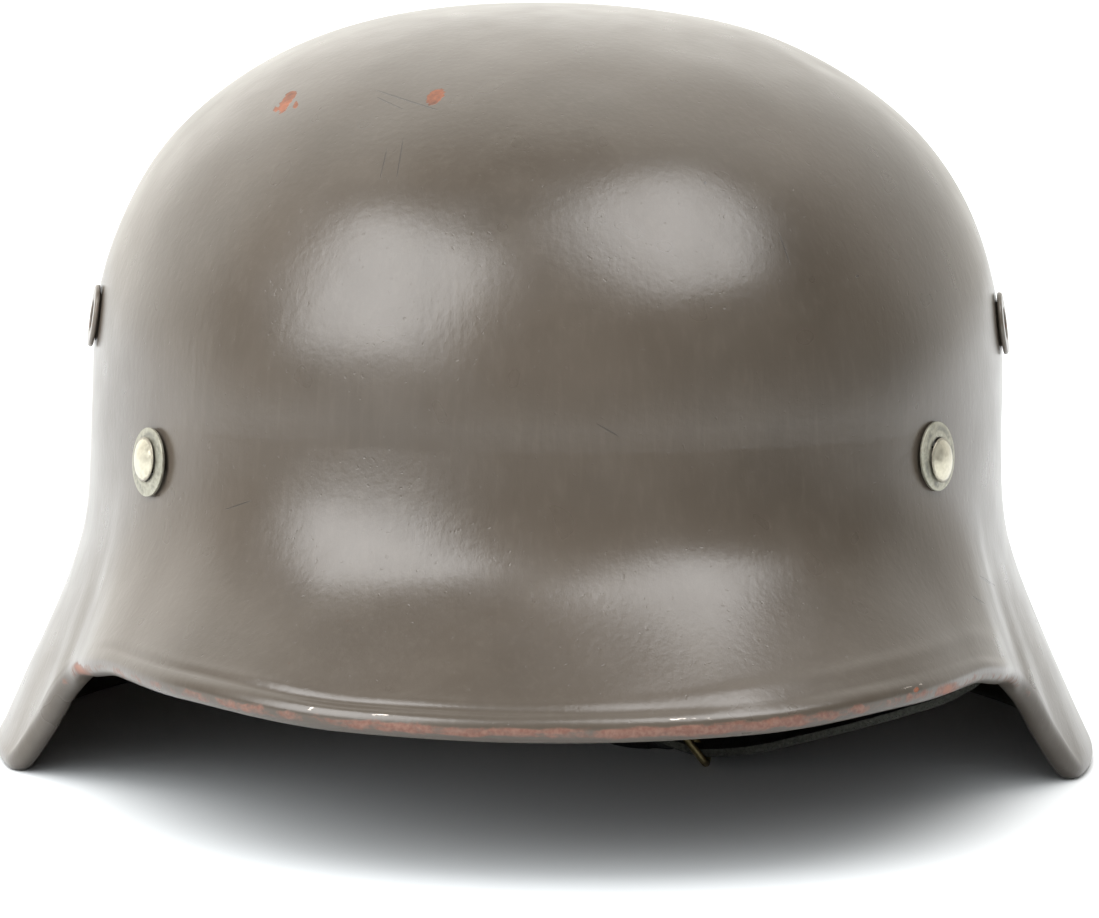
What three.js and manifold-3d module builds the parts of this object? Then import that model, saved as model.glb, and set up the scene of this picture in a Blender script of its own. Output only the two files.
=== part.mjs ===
// Steel helmet with a flared skirt, rolled rim, side vents, liner rivets and a leather chin strap.
// Millimetres, +Z up. The visor points to -Y and the wearer's left side is +X.
// The helmet stands on its rim at z = 0, and the origin is the middle of its footprint.

import * as THREE from 'three';
import { mergeVertices } from 'three/addons/utils/BufferGeometryUtils.js';
import Module from 'manifold-3d';

// Bowl of pressed sheet
const sheet = 1.2;
const bowlHalfWidth = 98.9;
const bowlFront = 121;
const bowlBack = 115;
const crownHeight = 163;
const wallHeight = 80;
const planPower = 2.12;
const domePowerSide = 2.36;
const domePowerEnd = 2.2;

// Flare below the wall: reach beyond the wall, and height of the rim's edge
const visorReach = 34;
const notchReach = 10.4;
const skirtReach = 21.5;
const neckReach = 30;
const visorRise = 32.5;
const visorBend = 56;
const skirtBend = 49;
const bendRound = 9;
const visorRound = 16;
const neckRound = 28;
const beadRadius = 2.7;
const beadFlat = 20;

// Liner rivets and their washers
const rivetAngle = 46.5;
const rivetHeight = 72.7;
const rivetUneven = 0.8;
const rivetOffset = 1;
const rivetShankRadius = 2.5;
const rivetHeadRadius = 4.6;
const rivetHeadHeight = 1.4;
const rivetTailThickness = 1.2;
const washerRadius = 7.1;
const washerThickness = 0.7;
const washerDish = 0.25;
const washerSlip = 0.9;

// Side vents
const ventAngle = 76;
const ventHeight = 96.5;
const ventBoreRadius = 3.4;
const ventTubeRadius = 4.8;
const ventFlangeRadius = 6.75;
const ventFlangeHeight = 1;
const ventTailRadius = 6.3;
const ventTailThickness = 1;

// Hidden lugs that the strap hangs from
const lugThickness = 1.2;
const lugRail = 2.6;
const lugBar = 4.5;
const lugBarHeight = 52;
const lugHead = 9;

// Chin strap and buckle
const strapWidth = 16;
const strapThickness = 1.8;
const strapTail = 14;
const buckleWire = 1.7;
const buckleSpan = 9;
const buckleLean = 50;
const prongRadius = 0.8;

// Clearances between neighbours
const outerGap = 0.35;
const innerGap = 0.6;
const boreGap = 0.4;
const strapGap = 0.35;
const floorGap = 0.3;

// Rim by angle from the visor's middle: reach beyond the wall, height of the edge,
// height of the bend where the flare starts, and how softly it bends
const rimRows = [
  { angle: 0, reach: 1.0 * visorReach, edge: 1.0 * visorRise, bend: 1.0 * visorBend, round: 1.0 * visorRound },
  { angle: 15, reach: 0.97 * visorReach, edge: 1.02 * visorRise, bend: 1.0 * visorBend, round: 1.0 * visorRound },
  { angle: 30, reach: 0.8 * visorReach, edge: 1.075 * visorRise, bend: 1.0 * visorBend, round: 0.94 * visorRound },
  { angle: 42, reach: 0.55 * visorReach, edge: 1.06 * visorRise, bend: 0.99 * visorBend, round: 0.88 * visorRound },
  { angle: 50, reach: 0.435 * visorReach, edge: 0.967 * visorRise, bend: 0.965 * visorBend, round: 0.81 * visorRound },
  { angle: 56, reach: 1.09 * notchReach, edge: 0.892 * visorRise, bend: 0.93 * visorBend, round: 0.75 * visorRound },
  { angle: 60, reach: 1.0 * notchReach, edge: 0.806 * visorRise, bend: 1.02 * skirtBend, round: 1.1 * bendRound },
  { angle: 64, reach: 0.57 * skirtReach, edge: 0.634 * visorRise, bend: 1.0 * skirtBend, round: 1.0 * bendRound },
  { angle: 68, reach: 0.7 * skirtReach, edge: 4.48 * beadRadius, bend: 1.0 * skirtBend, round: 1.0 * bendRound },
  { angle: 73, reach: 0.9 * skirtReach, edge: 1.2 * beadRadius, bend: 1.0 * skirtBend, round: 1.0 * bendRound },
  { angle: 82, reach: 0.96 * skirtReach, edge: 1.2 * beadRadius, bend: 1.0 * skirtBend, round: 1.1 * bendRound },
  { angle: 100, reach: 1.0 * skirtReach, edge: 1.3 * beadRadius, bend: 1.0 * skirtBend, round: 1.33 * bendRound },
  { angle: 125, reach: 1.07 * skirtReach, edge: 1.35 * beadRadius, bend: 1.02 * skirtBend, round: 2.0 * bendRound },
  { angle: 150, reach: 0.9 * neckReach, edge: 1.25 * beadRadius, bend: 1.06 * skirtBend, round: 0.93 * neckRound },
  { angle: 180, reach: 1.0 * neckReach, edge: 1.3 * beadRadius, bend: 1.06 * skirtBend, round: 1.0 * neckRound },
];

// Columns of the shell's grid: each band's first angle and the step inside it
const columnBands = [
  { from: 0, to: 48, step: 6 },
  { from: 48, to: 78, step: 2.5 },
  { from: 78, to: 180, step: 6.4 },
];
const domeRows = 11;
const skirtRows = 7;
const innerDomeRows = 10;
const innerSkirtRows = 6;
const roundSteps = 20;

// Middle line of the chin strap from its left lug (+X) to its right lug: place in plan as shares
// of the bowl's half width, height above lying as a share of the lug bar's height, direction of
// travel in plan, and lean, which is 0 lying flat and 90 standing on its edge
const strapRows = [
  { x: 0.945, y: -0.015, lift: 0.67, heading: 180, lean: 0 },
  { x: 0.962, y: -0.04, lift: 0.49, heading: 180, lean: 0 },
  { x: 0.945, y: -0.08, lift: 0.33, heading: 180, lean: 0 },
  { x: 0.88, y: -0.115, lift: 0.257, heading: 180, lean: 0 },
  { x: 0.775, y: -0.15, lift: 0.2, heading: 180, lean: 0 },
  { x: 0.665, y: -0.175, lift: 0.148, heading: 180, lean: 0 },
  { x: 0.555, y: -0.19, lift: 0.1, heading: 180, lean: 0 },
  { x: 0.45, y: -0.2, lift: 0.058, heading: 180, lean: 0 },
  { x: 0.34, y: -0.2, lift: 0.045, heading: 180, lean: 0 },
  { x: 0.265, y: -0.185, lift: 0.03, heading: 168, lean: 14 },
  { x: 0.205, y: -0.13, lift: 0.01, heading: 140, lean: 50 },
  { x: 0.15, y: -0.02, lift: 0, heading: 117, lean: 80 },
  { x: 0.06, y: 0.16, lift: 0, heading: 117, lean: 90 },
  { x: -0.06, y: 0.35, lift: 0, heading: 125, lean: 90 },
  { x: -0.22, y: 0.48, lift: 0, heading: 155, lean: 90 },
  { x: -0.4, y: 0.48, lift: 0.01, heading: 200, lean: 82 },
  { x: -0.56, y: 0.38, lift: 0.07, heading: 220, lean: 60 },
  { x: -0.7, y: 0.25, lift: 0.22, heading: 218, lean: 34 },
  { x: -0.82, y: 0.13, lift: 0.4, heading: 203, lean: 14 },
  { x: -0.895, y: 0.04, lift: 0.6, heading: 186, lean: 3 },
];
const strapStepsPerRow = 2;
const tailSteps = 3;
const foldTurns = 6;
const buckleRow = 8;

const wasm = await Module();
wasm.setup();

const radians = THREE.MathUtils.degToRad;
const degrees = THREE.MathUtils.radToDeg;

// Monotone cubic through one column of the rim rows, mirrored at the front and at the back
function rimValue(angle, column) {
  const a = Math.abs(angle);
  const rows = [
    ...rimRows.slice(1, 3).reverse().map((row) => ({ x: -row.angle, y: row[column] })),
    ...rimRows.map((row) => ({ x: row.angle, y: row[column] })),
    ...rimRows.slice(-3, -1).reverse().map((row) => ({ x: 360 - row.angle, y: row[column] })),
  ];
  const gap = (i) => rows[i + 1].x - rows[i].x;
  const rise = (i) => (rows[i + 1].y - rows[i].y) / gap(i);
  const slope = (i) => {
    if (rise(i - 1) * rise(i) <= 0) return 0;
    const before = 2 * gap(i) + gap(i - 1);
    const after = gap(i) + 2 * gap(i - 1);
    return (before + after) / (before / rise(i - 1) + after / rise(i));
  };
  let i = 1;
  while (i < rows.length - 3 && rows[i + 1].x < a) i += 1;
  const w = gap(i);
  const t = (a - rows[i].x) / w;
  const start = rows[i].y * (1 + 2 * t) * (1 - t) ** 2 + w * slope(i) * t * (1 - t) ** 2;
  return start + rows[i + 1].y * t * t * (3 - 2 * t) + w * slope(i + 1) * t * t * (t - 1);
}

// Smooth ramp that is 0 well above the bend and a straight line well below it
function ramp(z, bend, round) {
  const below = bend - z;
  return (below + Math.hypot(below, round)) / 2;
}

// Distance from the bowl's axis to its outer surface
function bowlRadius(angle, z) {
  const c = Math.cos(radians(angle));
  const s = Math.abs(Math.sin(radians(angle)));
  const end = c > 0 ? bowlFront : bowlBack;
  const wall = ((Math.abs(c) / end) ** planPower + (s / bowlHalfWidth) ** planPower) ** (-1 / planPower);
  const power = domePowerSide + (domePowerEnd - domePowerSide) * c * c;
  const up = THREE.MathUtils.clamp((z - wallHeight) / (crownHeight - wallHeight), 0, 1);
  const dome = Math.max(0, 1 - up ** power) ** (1 / power);
  if (z >= wallHeight) return wall * dome;
  const bend = rimValue(angle, 'bend');
  const round = rimValue(angle, 'round');
  const atWall = ramp(wallHeight, bend, round);
  const share = (ramp(z, bend, round) - atWall) / (ramp(rimValue(angle, 'edge'), bend, round) - atWall);
  return wall + rimValue(angle, 'reach') * share;
}

function outerPoint(angle, z) {
  const r = bowlRadius(angle, z);
  return new THREE.Vector3(r * Math.sin(radians(angle)), -r * Math.cos(radians(angle)), z);
}

function outerNormal(angle, z) {
  const turn = 0.01;
  const climb = Math.min(0.05, (crownHeight - z) / 2);
  const around = outerPoint(angle + turn, z).sub(outerPoint(angle - turn, z));
  const up = outerPoint(angle, z + climb).sub(outerPoint(angle, z - climb));
  return around.cross(up).normalize();
}

// Point at a depth below the outer surface
function skin(angle, z, depth) {
  return outerPoint(angle, z).addScaledVector(outerNormal(angle, z), -depth);
}

function domeHeight(share) {
  const turn = Math.cos((share * Math.PI) / 2);
  return wallHeight + (crownHeight - wallHeight) * turn ** (2 / domePowerSide);
}

// One closed body from points and triangles, with its faces turned outwards
function body(points, triangles) {
  let volume = 0;
  for (const [a, b, c] of triangles) {
    volume += points[a].dot(new THREE.Vector3().crossVectors(points[b], points[c]));
  }
  const faces = volume < 0 ? triangles.map(([a, b, c]) => [a, c, b]) : triangles;
  const geometry = new THREE.BufferGeometry();
  geometry.setAttribute('position', new THREE.Float32BufferAttribute(points.flatMap((p) => p.toArray()), 3));
  geometry.setIndex(faces.flat());
  return geometry;
}

// Solid through equal rings of points, with flat ends
function loft(rings) {
  const sides = rings[0].length;
  const triangles = [];
  for (let i = 0; i + 1 < rings.length; i += 1) {
    for (let j = 0; j < sides; j += 1) {
      const k = (j + 1) % sides;
      const a = i * sides + j;
      const b = i * sides + k;
      triangles.push([a, b, b + sides], [a, b + sides, a + sides]);
    }
  }
  const last = (rings.length - 1) * sides;
  for (let j = 1; j + 1 < sides; j += 1) {
    triangles.push([0, j + 1, j], [last, last + j, last + j + 1]);
  }
  return body(rings.flat(), triangles);
}

// Merged points and whole triangles of a three.js geometry
function weld(geometry) {
  const bare = geometry.index ? geometry.toNonIndexed() : geometry.clone();
  bare.deleteAttribute('normal');
  bare.deleteAttribute('uv');
  const merged = mergeVertices(bare, 1e-4);
  const points = [];
  for (let i = 0; i < merged.attributes.position.count; i += 1) {
    points.push(new THREE.Vector3().fromBufferAttribute(merged.attributes.position, i));
  }
  const triangles = [];
  const index = merged.index.array;
  for (let i = 0; i < index.length; i += 3) {
    const corners = [index[i], index[i + 1], index[i + 2]];
    if (new Set(corners).size === 3) triangles.push(corners);
  }
  return body(points, triangles);
}

function toSolid(geometry) {
  const welded = weld(geometry);
  return new wasm.Manifold(new wasm.Mesh({
    numProp: 3,
    vertProperties: new Float32Array(welded.attributes.position.array),
    triVerts: new Uint32Array(welded.index.array),
  }));
}

function toGeometry(solid) {
  const mesh = solid.getMesh();
  const geometry = new THREE.BufferGeometry();
  geometry.setAttribute('position', new THREE.BufferAttribute(new Float32Array(mesh.vertProperties), 3));
  geometry.setIndex(Array.from(mesh.triVerts));
  return geometry;
}

// Round solid whose profile is [radius, height] pairs along +Z
function turned(profile) {
  const points = profile.map(([r, z]) => new THREE.Vector2(r, z));
  return weld(new THREE.LatheGeometry(points, roundSteps).rotateX(Math.PI / 2));
}

// Arc of a turned profile from one angle to another about a centre
function arc(centreR, centreZ, radius, from, to, steps) {
  return Array.from({ length: steps + 1 }, (_, i) => {
    const a = radians(from + ((to - from) * i) / steps);
    return [centreR + radius * Math.cos(a), centreZ + radius * Math.sin(a)];
  });
}

// Placement on the outer surface: +Z outwards, +Y up the wall, +X along the wall
function seat(angle, z, along = 0, up = 0) {
  const out = outerNormal(angle, z);
  const side = new THREE.Vector3(0, 0, 1).cross(out).normalize();
  const climb = new THREE.Vector3().crossVectors(out, side);
  const place = outerPoint(angle, z).addScaledVector(side, along).addScaledVector(climb, up);
  return new THREE.Matrix4().makeBasis(side, climb, out).setPosition(place);
}

// How far the outer surface stands above its seat within a radius of it
function seatRise(place, radius) {
  const out = new THREE.Vector3().setFromMatrixColumn(place, 2);
  const rises = Array.from({ length: roundSteps }, (_, i) => {
    const turn = (2 * Math.PI * i) / roundSteps;
    const point = new THREE.Vector3(radius * Math.cos(turn), radius * Math.sin(turn), 0).applyMatrix4(place);
    const distance = Math.hypot(point.x, point.y);
    const tilt = (out.x * point.x + out.y * point.y) / distance;
    return (bowlRadius(degrees(Math.atan2(point.x, -point.y)), point.z) - distance) * tilt;
  });
  return Math.max(0, ...rises);
}

// Rolled rim in cross section at one angle: centre, radius vectors and the turn to the ground
function bead(angle) {
  const edge = rimValue(angle, 'edge');
  const out = outerNormal(angle, edge);
  const step = 0.2;
  const ahead = outerPoint(angle + step, rimValue(angle + step, 'edge'));
  const behind = outerPoint(angle - step, rimValue(angle - step, 'edge'));
  const along = ahead.sub(behind).normalize();
  const down = new THREE.Vector3().crossVectors(along, out);
  if (down.z > 0) down.negate();
  const centre = outerPoint(angle, edge).addScaledVector(out, -beadRadius);
  const ground = degrees(Math.atan2(-down.z, -out.z));
  return { centre, out, down, ground };
}

function beadPoint(section, turn) {
  const point = section.centre.clone();
  point.addScaledVector(section.out, beadRadius * Math.cos(radians(turn)));
  point.addScaledVector(section.down, beadRadius * Math.sin(radians(turn)));
  point.z = Math.max(0, point.z);
  return point;
}

// Cross section of the shell at one angle, from the outer crown down, round the rim and up inside
function shellColumn(angle) {
  const points = [];
  const edge = rimValue(angle, 'edge');
  for (let i = 1; i <= domeRows; i += 1) points.push(outerPoint(angle, domeHeight(i / domeRows)));
  for (let i = 1; i <= skirtRows; i += 1) {
    points.push(outerPoint(angle, wallHeight + ((edge - wallHeight) * i) / skirtRows));
  }
  const section = bead(angle);
  const closing = 360 - degrees(Math.acos((beadRadius - sheet) / beadRadius));
  const turns = [
    (section.ground - beadFlat) / 3,
    ((section.ground - beadFlat) * 2) / 3,
    section.ground - beadFlat,
    section.ground + beadFlat,
  ];
  const left = closing - section.ground - beadFlat;
  for (const share of [0.28, 0.52, 0.76, 1]) turns.push(section.ground + beadFlat + left * share);
  for (const turn of turns) points.push(beadPoint(section, turn));
  const innerEnd = points[points.length - 1].z + 1.5 * sheet;
  for (let i = 0; i < innerSkirtRows; i += 1) {
    points.push(skin(angle, innerEnd + ((wallHeight - innerEnd) * i) / innerSkirtRows, sheet));
  }
  for (let i = innerDomeRows; i >= 1; i -= 1) points.push(skin(angle, domeHeight(i / innerDomeRows), sheet));
  return points;
}

function shellGeometry() {
  const half = columnBands.flatMap((band) => {
    const count = Math.round((band.to - band.from) / band.step);
    return Array.from({ length: count }, (_, i) => band.from + ((band.to - band.from) * i) / count);
  });
  const angles = [...half, 180, ...half.slice(1).reverse().map((angle) => -angle)];
  const columns = angles.map(shellColumn);
  const rows = columns[0].length;
  const points = columns.flat();
  const top = points.length;
  points.push(new THREE.Vector3(0, 0, crownHeight), new THREE.Vector3(0, 0, crownHeight - sheet));
  const triangles = [];
  for (let j = 0; j < columns.length; j += 1) {
    const here = j * rows;
    const next = ((j + 1) % columns.length) * rows;
    for (let i = 0; i + 1 < rows; i += 1) {
      triangles.push([here + i, here + i + 1, next + i + 1], [here + i, next + i + 1, next + i]);
    }
    triangles.push([top, here, next], [top + 1, next + rows - 1, here + rows - 1]);
  }
  return body(points, triangles);
}

// Cylinder through the shell's wall at a seat, to cut a hole
function wallDrill(place, radius) {
  const reach = 10 * sheet;
  return toSolid(turned([[0, -reach], [radius, -reach], [radius, reach], [0, reach]]).applyMatrix4(place));
}

// Seats of the rivets and vents, with each washer's place off its rivet as shares of its slip
const rivets = [
  { name: 'left', angle: rivetAngle - rivetOffset, height: rivetHeight + rivetUneven, along: -0.1, up: 0.9 },
  { name: 'right', angle: -rivetAngle - rivetOffset, height: rivetHeight - rivetUneven, along: 0.1, up: -0.65 },
  { name: 'rear', angle: 180, height: rivetHeight, along: 0, up: -0.9 },
];
const vents = [
  { name: 'left', angle: ventAngle },
  { name: 'right', angle: -ventAngle },
];

function shellSolid() {
  let solid = toSolid(shellGeometry());
  for (const rivet of rivets) {
    solid = solid.subtract(wallDrill(seat(rivet.angle, rivet.height), rivetShankRadius + boreGap));
  }
  for (const vent of vents) {
    solid = solid.subtract(wallDrill(seat(vent.angle, ventHeight), ventTubeRadius + boreGap));
  }
  return toGeometry(solid);
}

// Height of a washer's back above the seat of its rivet
function washerLift(rivet) {
  return outerGap + seatRise(seat(rivet.angle, rivet.height), washerRadius + washerSlip);
}

// Dished washer whose rim lies closer to the wall than its bore
function washerGeometry(lift) {
  const bore = rivetShankRadius + washerSlip + boreGap;
  const back = lift + washerDish;
  return turned([
    [bore, back],
    [washerRadius, back - washerDish],
    [washerRadius, back - washerDish + 0.7 * washerThickness],
    [washerRadius - 0.3 * washerThickness, back - washerDish + washerThickness],
    [bore, back + washerThickness],
    [bore, back],
  ]);
}

// Domed rivet with a straight shank and a clenched tail inside the shell
function rivetGeometry(lift) {
  const head = lift + washerDish + washerThickness + outerGap;
  const domeRadius = (rivetHeadRadius ** 2 + rivetHeadHeight ** 2) / (2 * rivetHeadHeight);
  const domeCentre = head + rivetHeadHeight - domeRadius;
  const edge = degrees(Math.asin((head - domeCentre) / domeRadius));
  const tail = -sheet - innerGap;
  const tailRadius = 0.9 * rivetHeadRadius;
  return turned([
    [0, tail - rivetTailThickness],
    [tailRadius, tail - rivetTailThickness],
    [tailRadius, tail],
    [rivetShankRadius, tail],
    [rivetShankRadius, head],
    ...arc(0, domeCentre, domeRadius, edge, 90, 5).slice(0, -1),
    [0, head + rivetHeadHeight],
  ]);
}

// Hollow eyelet: rounded flange outside, tube through the wall and lug, rolled tail inside
function ventGeometry() {
  const flange = outerGap;
  const roll = 0.6 * ventFlangeHeight;
  const crest = flange + ventFlangeHeight;
  const span = ventTailRadius ** 2 / (2 * bowlHalfWidth);
  const tail = -sheet - 2 * innerGap - lugThickness - span;
  return turned([
    [ventTubeRadius, tail],
    [ventTubeRadius, flange],
    [ventFlangeRadius, flange],
    ...arc(ventFlangeRadius - roll, crest - roll, roll, 0, 90, 3),
    [ventBoreRadius + 0.5 * roll, crest],
    [ventBoreRadius, crest - 0.5 * roll],
    [ventBoreRadius, tail - ventTailThickness],
    [ventTailRadius, tail - ventTailThickness],
    [ventTailRadius, tail],
    [ventTubeRadius, tail],
  ]);
}

// Distance from the shell's inner wall to the lug's near face, where the strap passes behind it
const lugStandOff = 2 * strapGap + strapThickness + innerGap + 0.3;
const lugTurn = strapThickness / 2 + strapGap + lugThickness / 2;
const lugBarX = bowlHalfWidth - sheet - lugStandOff - lugThickness / 2;

// Plain plate from each vent back to the strap: it hangs along the wall, steps inwards
// and ends in a slotted bar
function lugGeometry(side) {
  const strapEnd = 90 + degrees((strapWidth / 2 + 2 * strapGap + lugRail) / bowlHalfWidth);
  const ventEnd = ventAngle - degrees((ventTailRadius + lugRail) / bowlHalfWidth);
  const top = ventHeight + lugHead;
  const stepTop = ventHeight - lugHead;
  const bottom = lugBarHeight - lugBar;
  const levels = 9;
  const heights = Array.from({ length: levels + 1 }, (_, i) => top + ((bottom - top) * i) / levels);
  const layer = (angle, z, extra) => {
    const stepped = THREE.MathUtils.smoothstep(stepTop - z, 0, stepTop - lugBarHeight - 2 * lugBar);
    const depth = sheet + innerGap + (lugStandOff - innerGap) * stepped + extra;
    const point = skin(angle, Math.max(z, wallHeight), depth);
    return z < wallHeight ? point.setZ(z) : point;
  };
  const columns = 8;
  const spread = strapEnd - ventEnd;
  const rings = heights.map((z) => {
    const angles = Array.from({ length: columns + 1 }, (_, i) => side * (ventEnd + (spread * i) / columns));
    const near = angles.map((angle) => layer(angle, z, 0));
    const far = angles.reverse().map((angle) => layer(angle, z, lugThickness));
    return [...near, ...far];
  });
  const strip = toSolid(loft(rings));
  const hole = wallDrill(seat(side * ventAngle, ventHeight), ventTubeRadius + boreGap);
  const slotHeight = lugTurn + strapThickness / 2 + 2 * strapGap;
  const slot = new THREE.BoxGeometry(8 * lugStandOff, strapWidth + 4 * strapGap, slotHeight);
  slot.translate(side * lugBarX, 0, lugBarHeight + slotHeight / 2);
  return toGeometry(strip.subtract(hole).subtract(toSolid(slot)));
}

// Middle line of the strap with its edge direction at each step, folded over the lug bars
function strapSteps() {
  const places = strapRows.map((row) => {
    const across = strapAcross(row.heading, row.lean);
    const flatness = Math.hypot(across.x, across.y);
    const rest = floorGap + (Math.abs(across.z) * strapWidth + flatness * strapThickness) / 2;
    return new THREE.Vector3(row.x * bowlHalfWidth, row.y * bowlHalfWidth, rest + row.lift * lugBarHeight);
  });
  const hang = lugBarHeight - lugBar - 2 * strapThickness;
  const first = new THREE.Vector3(lugBarX - lugTurn, 0, hang);
  const last = new THREE.Vector3(lugTurn - lugBarX, 0, hang);
  const curve = new THREE.CatmullRomCurve3([first, ...places, last], false, 'centripetal');
  const rows = [strapRows[0], ...strapRows, strapRows[strapRows.length - 1]];
  const steps = [];
  for (let i = 0; i + 1 < rows.length; i += 1) {
    for (let k = 0; k < strapStepsPerRow; k += 1) {
      const share = k / strapStepsPerRow;
      const heading = THREE.MathUtils.lerp(rows[i].heading, rows[i + 1].heading, share);
      const lean = THREE.MathUtils.lerp(rows[i].lean, rows[i + 1].lean, share);
      const across = strapAcross(heading, lean);
      steps.push({ place: curve.getPoint((i + share) / (rows.length - 1)), across });
    }
  }
  steps.push({ place: last, across: strapAcross(180, 0) });
  return [...lugFold(1), ...steps, ...lugFold(-1).reverse()];
}

function strapAcross(heading, lean) {
  const h = radians(heading);
  const flat = Math.cos(radians(lean));
  return new THREE.Vector3(-Math.sin(h) * flat, Math.cos(h) * flat, Math.sin(radians(lean)));
}

// Strap end at one lug: the tail behind the bar, then over it, down to where it hangs free
function lugFold(side) {
  const across = strapAcross(180, 0);
  const steps = [];
  for (let i = 0; i < tailSteps; i += 1) {
    const drop = strapTail * (1 - i / (tailSteps - 1));
    steps.push({ place: new THREE.Vector3(side * (lugBarX + lugTurn), 0, lugBarHeight - drop), across });
  }
  for (let i = 1; i <= foldTurns; i += 1) {
    const a = (Math.PI * i) / foldTurns;
    const x = side * (lugBarX + lugTurn * Math.cos(a));
    steps.push({ place: new THREE.Vector3(x, 0, lugBarHeight + lugTurn * Math.sin(a)), across });
  }
  return steps;
}

// Direction of travel, edge and face of the strap at one of its steps
function strapFrame(steps, i) {
  const ahead = steps[Math.min(i + 1, steps.length - 1)].place;
  const behind = steps[Math.max(i - 1, 0)].place;
  const travel = ahead.clone().sub(behind).normalize();
  const edge = steps[i].across.clone();
  edge.addScaledVector(travel, -edge.dot(travel)).normalize();
  const face = new THREE.Vector3().crossVectors(edge, travel);
  return { travel, edge, face };
}

function strapBand(steps) {
  return loft(steps.map((step, i) => {
    const { edge, face } = strapFrame(steps, i);
    return [[1, 1], [-1, 1], [-1, -1], [1, -1]].map(([e, f]) => step.place.clone()
      .addScaledVector(edge, (e * strapWidth) / 2)
      .addScaledVector(face, (f * strapThickness) / 2));
  }));
}

// Placement of the buckle on the strap: +Z along the prong, +X along its bars
function bucklePlace(steps) {
  const i = tailSteps + foldTurns + strapStepsPerRow * (buckleRow + 1);
  const { travel, edge, face } = strapFrame(steps, i);
  const up = face.z > 0 ? face : face.clone().negate();
  const lean = radians(buckleLean);
  const prong = travel.clone().multiplyScalar(Math.cos(lean)).addScaledVector(up, Math.sin(lean));
  const through = new THREE.Vector3().crossVectors(prong, edge);
  return new THREE.Matrix4().makeBasis(edge, through, prong).setPosition(steps[i].place);
}

// Rectangular wire frame round the strap, with a prong from bar to bar
function buckleGeometry(place) {
  const halfWidth = strapWidth / 2 + 2 * strapGap + buckleWire / 2;
  const low = -(strapThickness / 2 + strapGap + buckleWire / 2) / Math.sin(radians(buckleLean));
  const high = low + buckleSpan;
  const corner = buckleWire / 2;
  const frame = new THREE.Shape();
  frame.moveTo(-halfWidth, low - corner);
  frame.lineTo(halfWidth, low - corner);
  frame.lineTo(halfWidth + corner, low);
  frame.lineTo(halfWidth + corner, high);
  frame.lineTo(halfWidth, high + corner);
  frame.lineTo(-halfWidth, high + corner);
  frame.lineTo(-halfWidth - corner, high);
  frame.lineTo(-halfWidth - corner, low);
  frame.closePath();
  const window = new THREE.Path();
  window.moveTo(corner - halfWidth, low + corner);
  window.lineTo(corner - halfWidth, high - corner);
  window.lineTo(halfWidth - corner, high - corner);
  window.lineTo(halfWidth - corner, low + corner);
  window.closePath();
  frame.holes.push(window);
  const wire = new THREE.ExtrudeGeometry(frame, { depth: buckleWire, bevelEnabled: false });
  wire.translate(0, 0, -buckleWire / 2).rotateX(Math.PI / 2);
  const prong = turned([[0, low], [prongRadius, low], [prongRadius, high], [0, high]]);
  return toGeometry(toSolid(wire).add(toSolid(prong))).applyMatrix4(place);
}

// Strap with the hole that the buckle's prong passes through
function strapGeometry(steps, place) {
  const reach = buckleSpan;
  const radius = prongRadius + boreGap;
  const drill = turned([[0, -reach], [radius, -reach], [radius, reach], [0, reach]]).applyMatrix4(place);
  return toGeometry(toSolid(strapBand(steps)).subtract(toSolid(drill)));
}

const paint = new THREE.MeshStandardMaterial({ color: 0x6b6259, roughness: 0.42, metalness: 0.1 });
const steel = new THREE.MeshStandardMaterial({ color: 0x8b8c86, roughness: 0.45, metalness: 0.8 });
const nickel = new THREE.MeshStandardMaterial({ color: 0xc9c3b4, roughness: 0.3, metalness: 0.9 });
const dull = new THREE.MeshStandardMaterial({ color: 0x55544f, roughness: 0.6, metalness: 0.6 });
const leather = new THREE.MeshStandardMaterial({ color: 0x1b1b1a, roughness: 0.55, metalness: 0 });
const brass = new THREE.MeshStandardMaterial({ color: 0x8a7440, roughness: 0.4, metalness: 0.9 });

const helmet = new THREE.Group();

function addPiece(name, geometry, material, place) {
  const mesh = new THREE.Mesh(geometry, material);
  mesh.name = name;
  if (place) mesh.applyMatrix4(place);
  helmet.add(mesh);
}

addPiece('shell', shellSolid(), paint);
for (const rivet of rivets) {
  const hang = { along: rivet.along * washerSlip, up: rivet.up * washerSlip };
  const washerPlace = seat(rivet.angle, rivet.height, hang.along, hang.up);
  const lift = washerLift(rivet);
  addPiece(`washer_${rivet.name}`, washerGeometry(lift), steel, washerPlace);
  addPiece(`rivet_${rivet.name}`, rivetGeometry(lift), nickel, seat(rivet.angle, rivet.height));
}
for (const vent of vents) {
  addPiece(`vent_${vent.name}`, ventGeometry(), paint, seat(vent.angle, ventHeight));
  addPiece(`strap_lug_${vent.name}`, lugGeometry(Math.sign(vent.angle)), dull);
}
const steps = strapSteps();
const place = bucklePlace(steps);
addPiece('chin_strap', strapGeometry(steps, place), leather);
addPiece('buckle', buckleGeometry(place), brass);

// Stand the origin in the middle of the footprint
const box = new THREE.Box3().setFromObject(helmet);
const middle = box.getCenter(new THREE.Vector3());
helmet.position.set(-middle.x, -middle.y, 0);

export default helmet;
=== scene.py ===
"""Steel helmet on a pale studio floor: meshes, materials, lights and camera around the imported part."""

import math

import bpy
import numpy as np
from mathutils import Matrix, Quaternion, Vector


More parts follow.
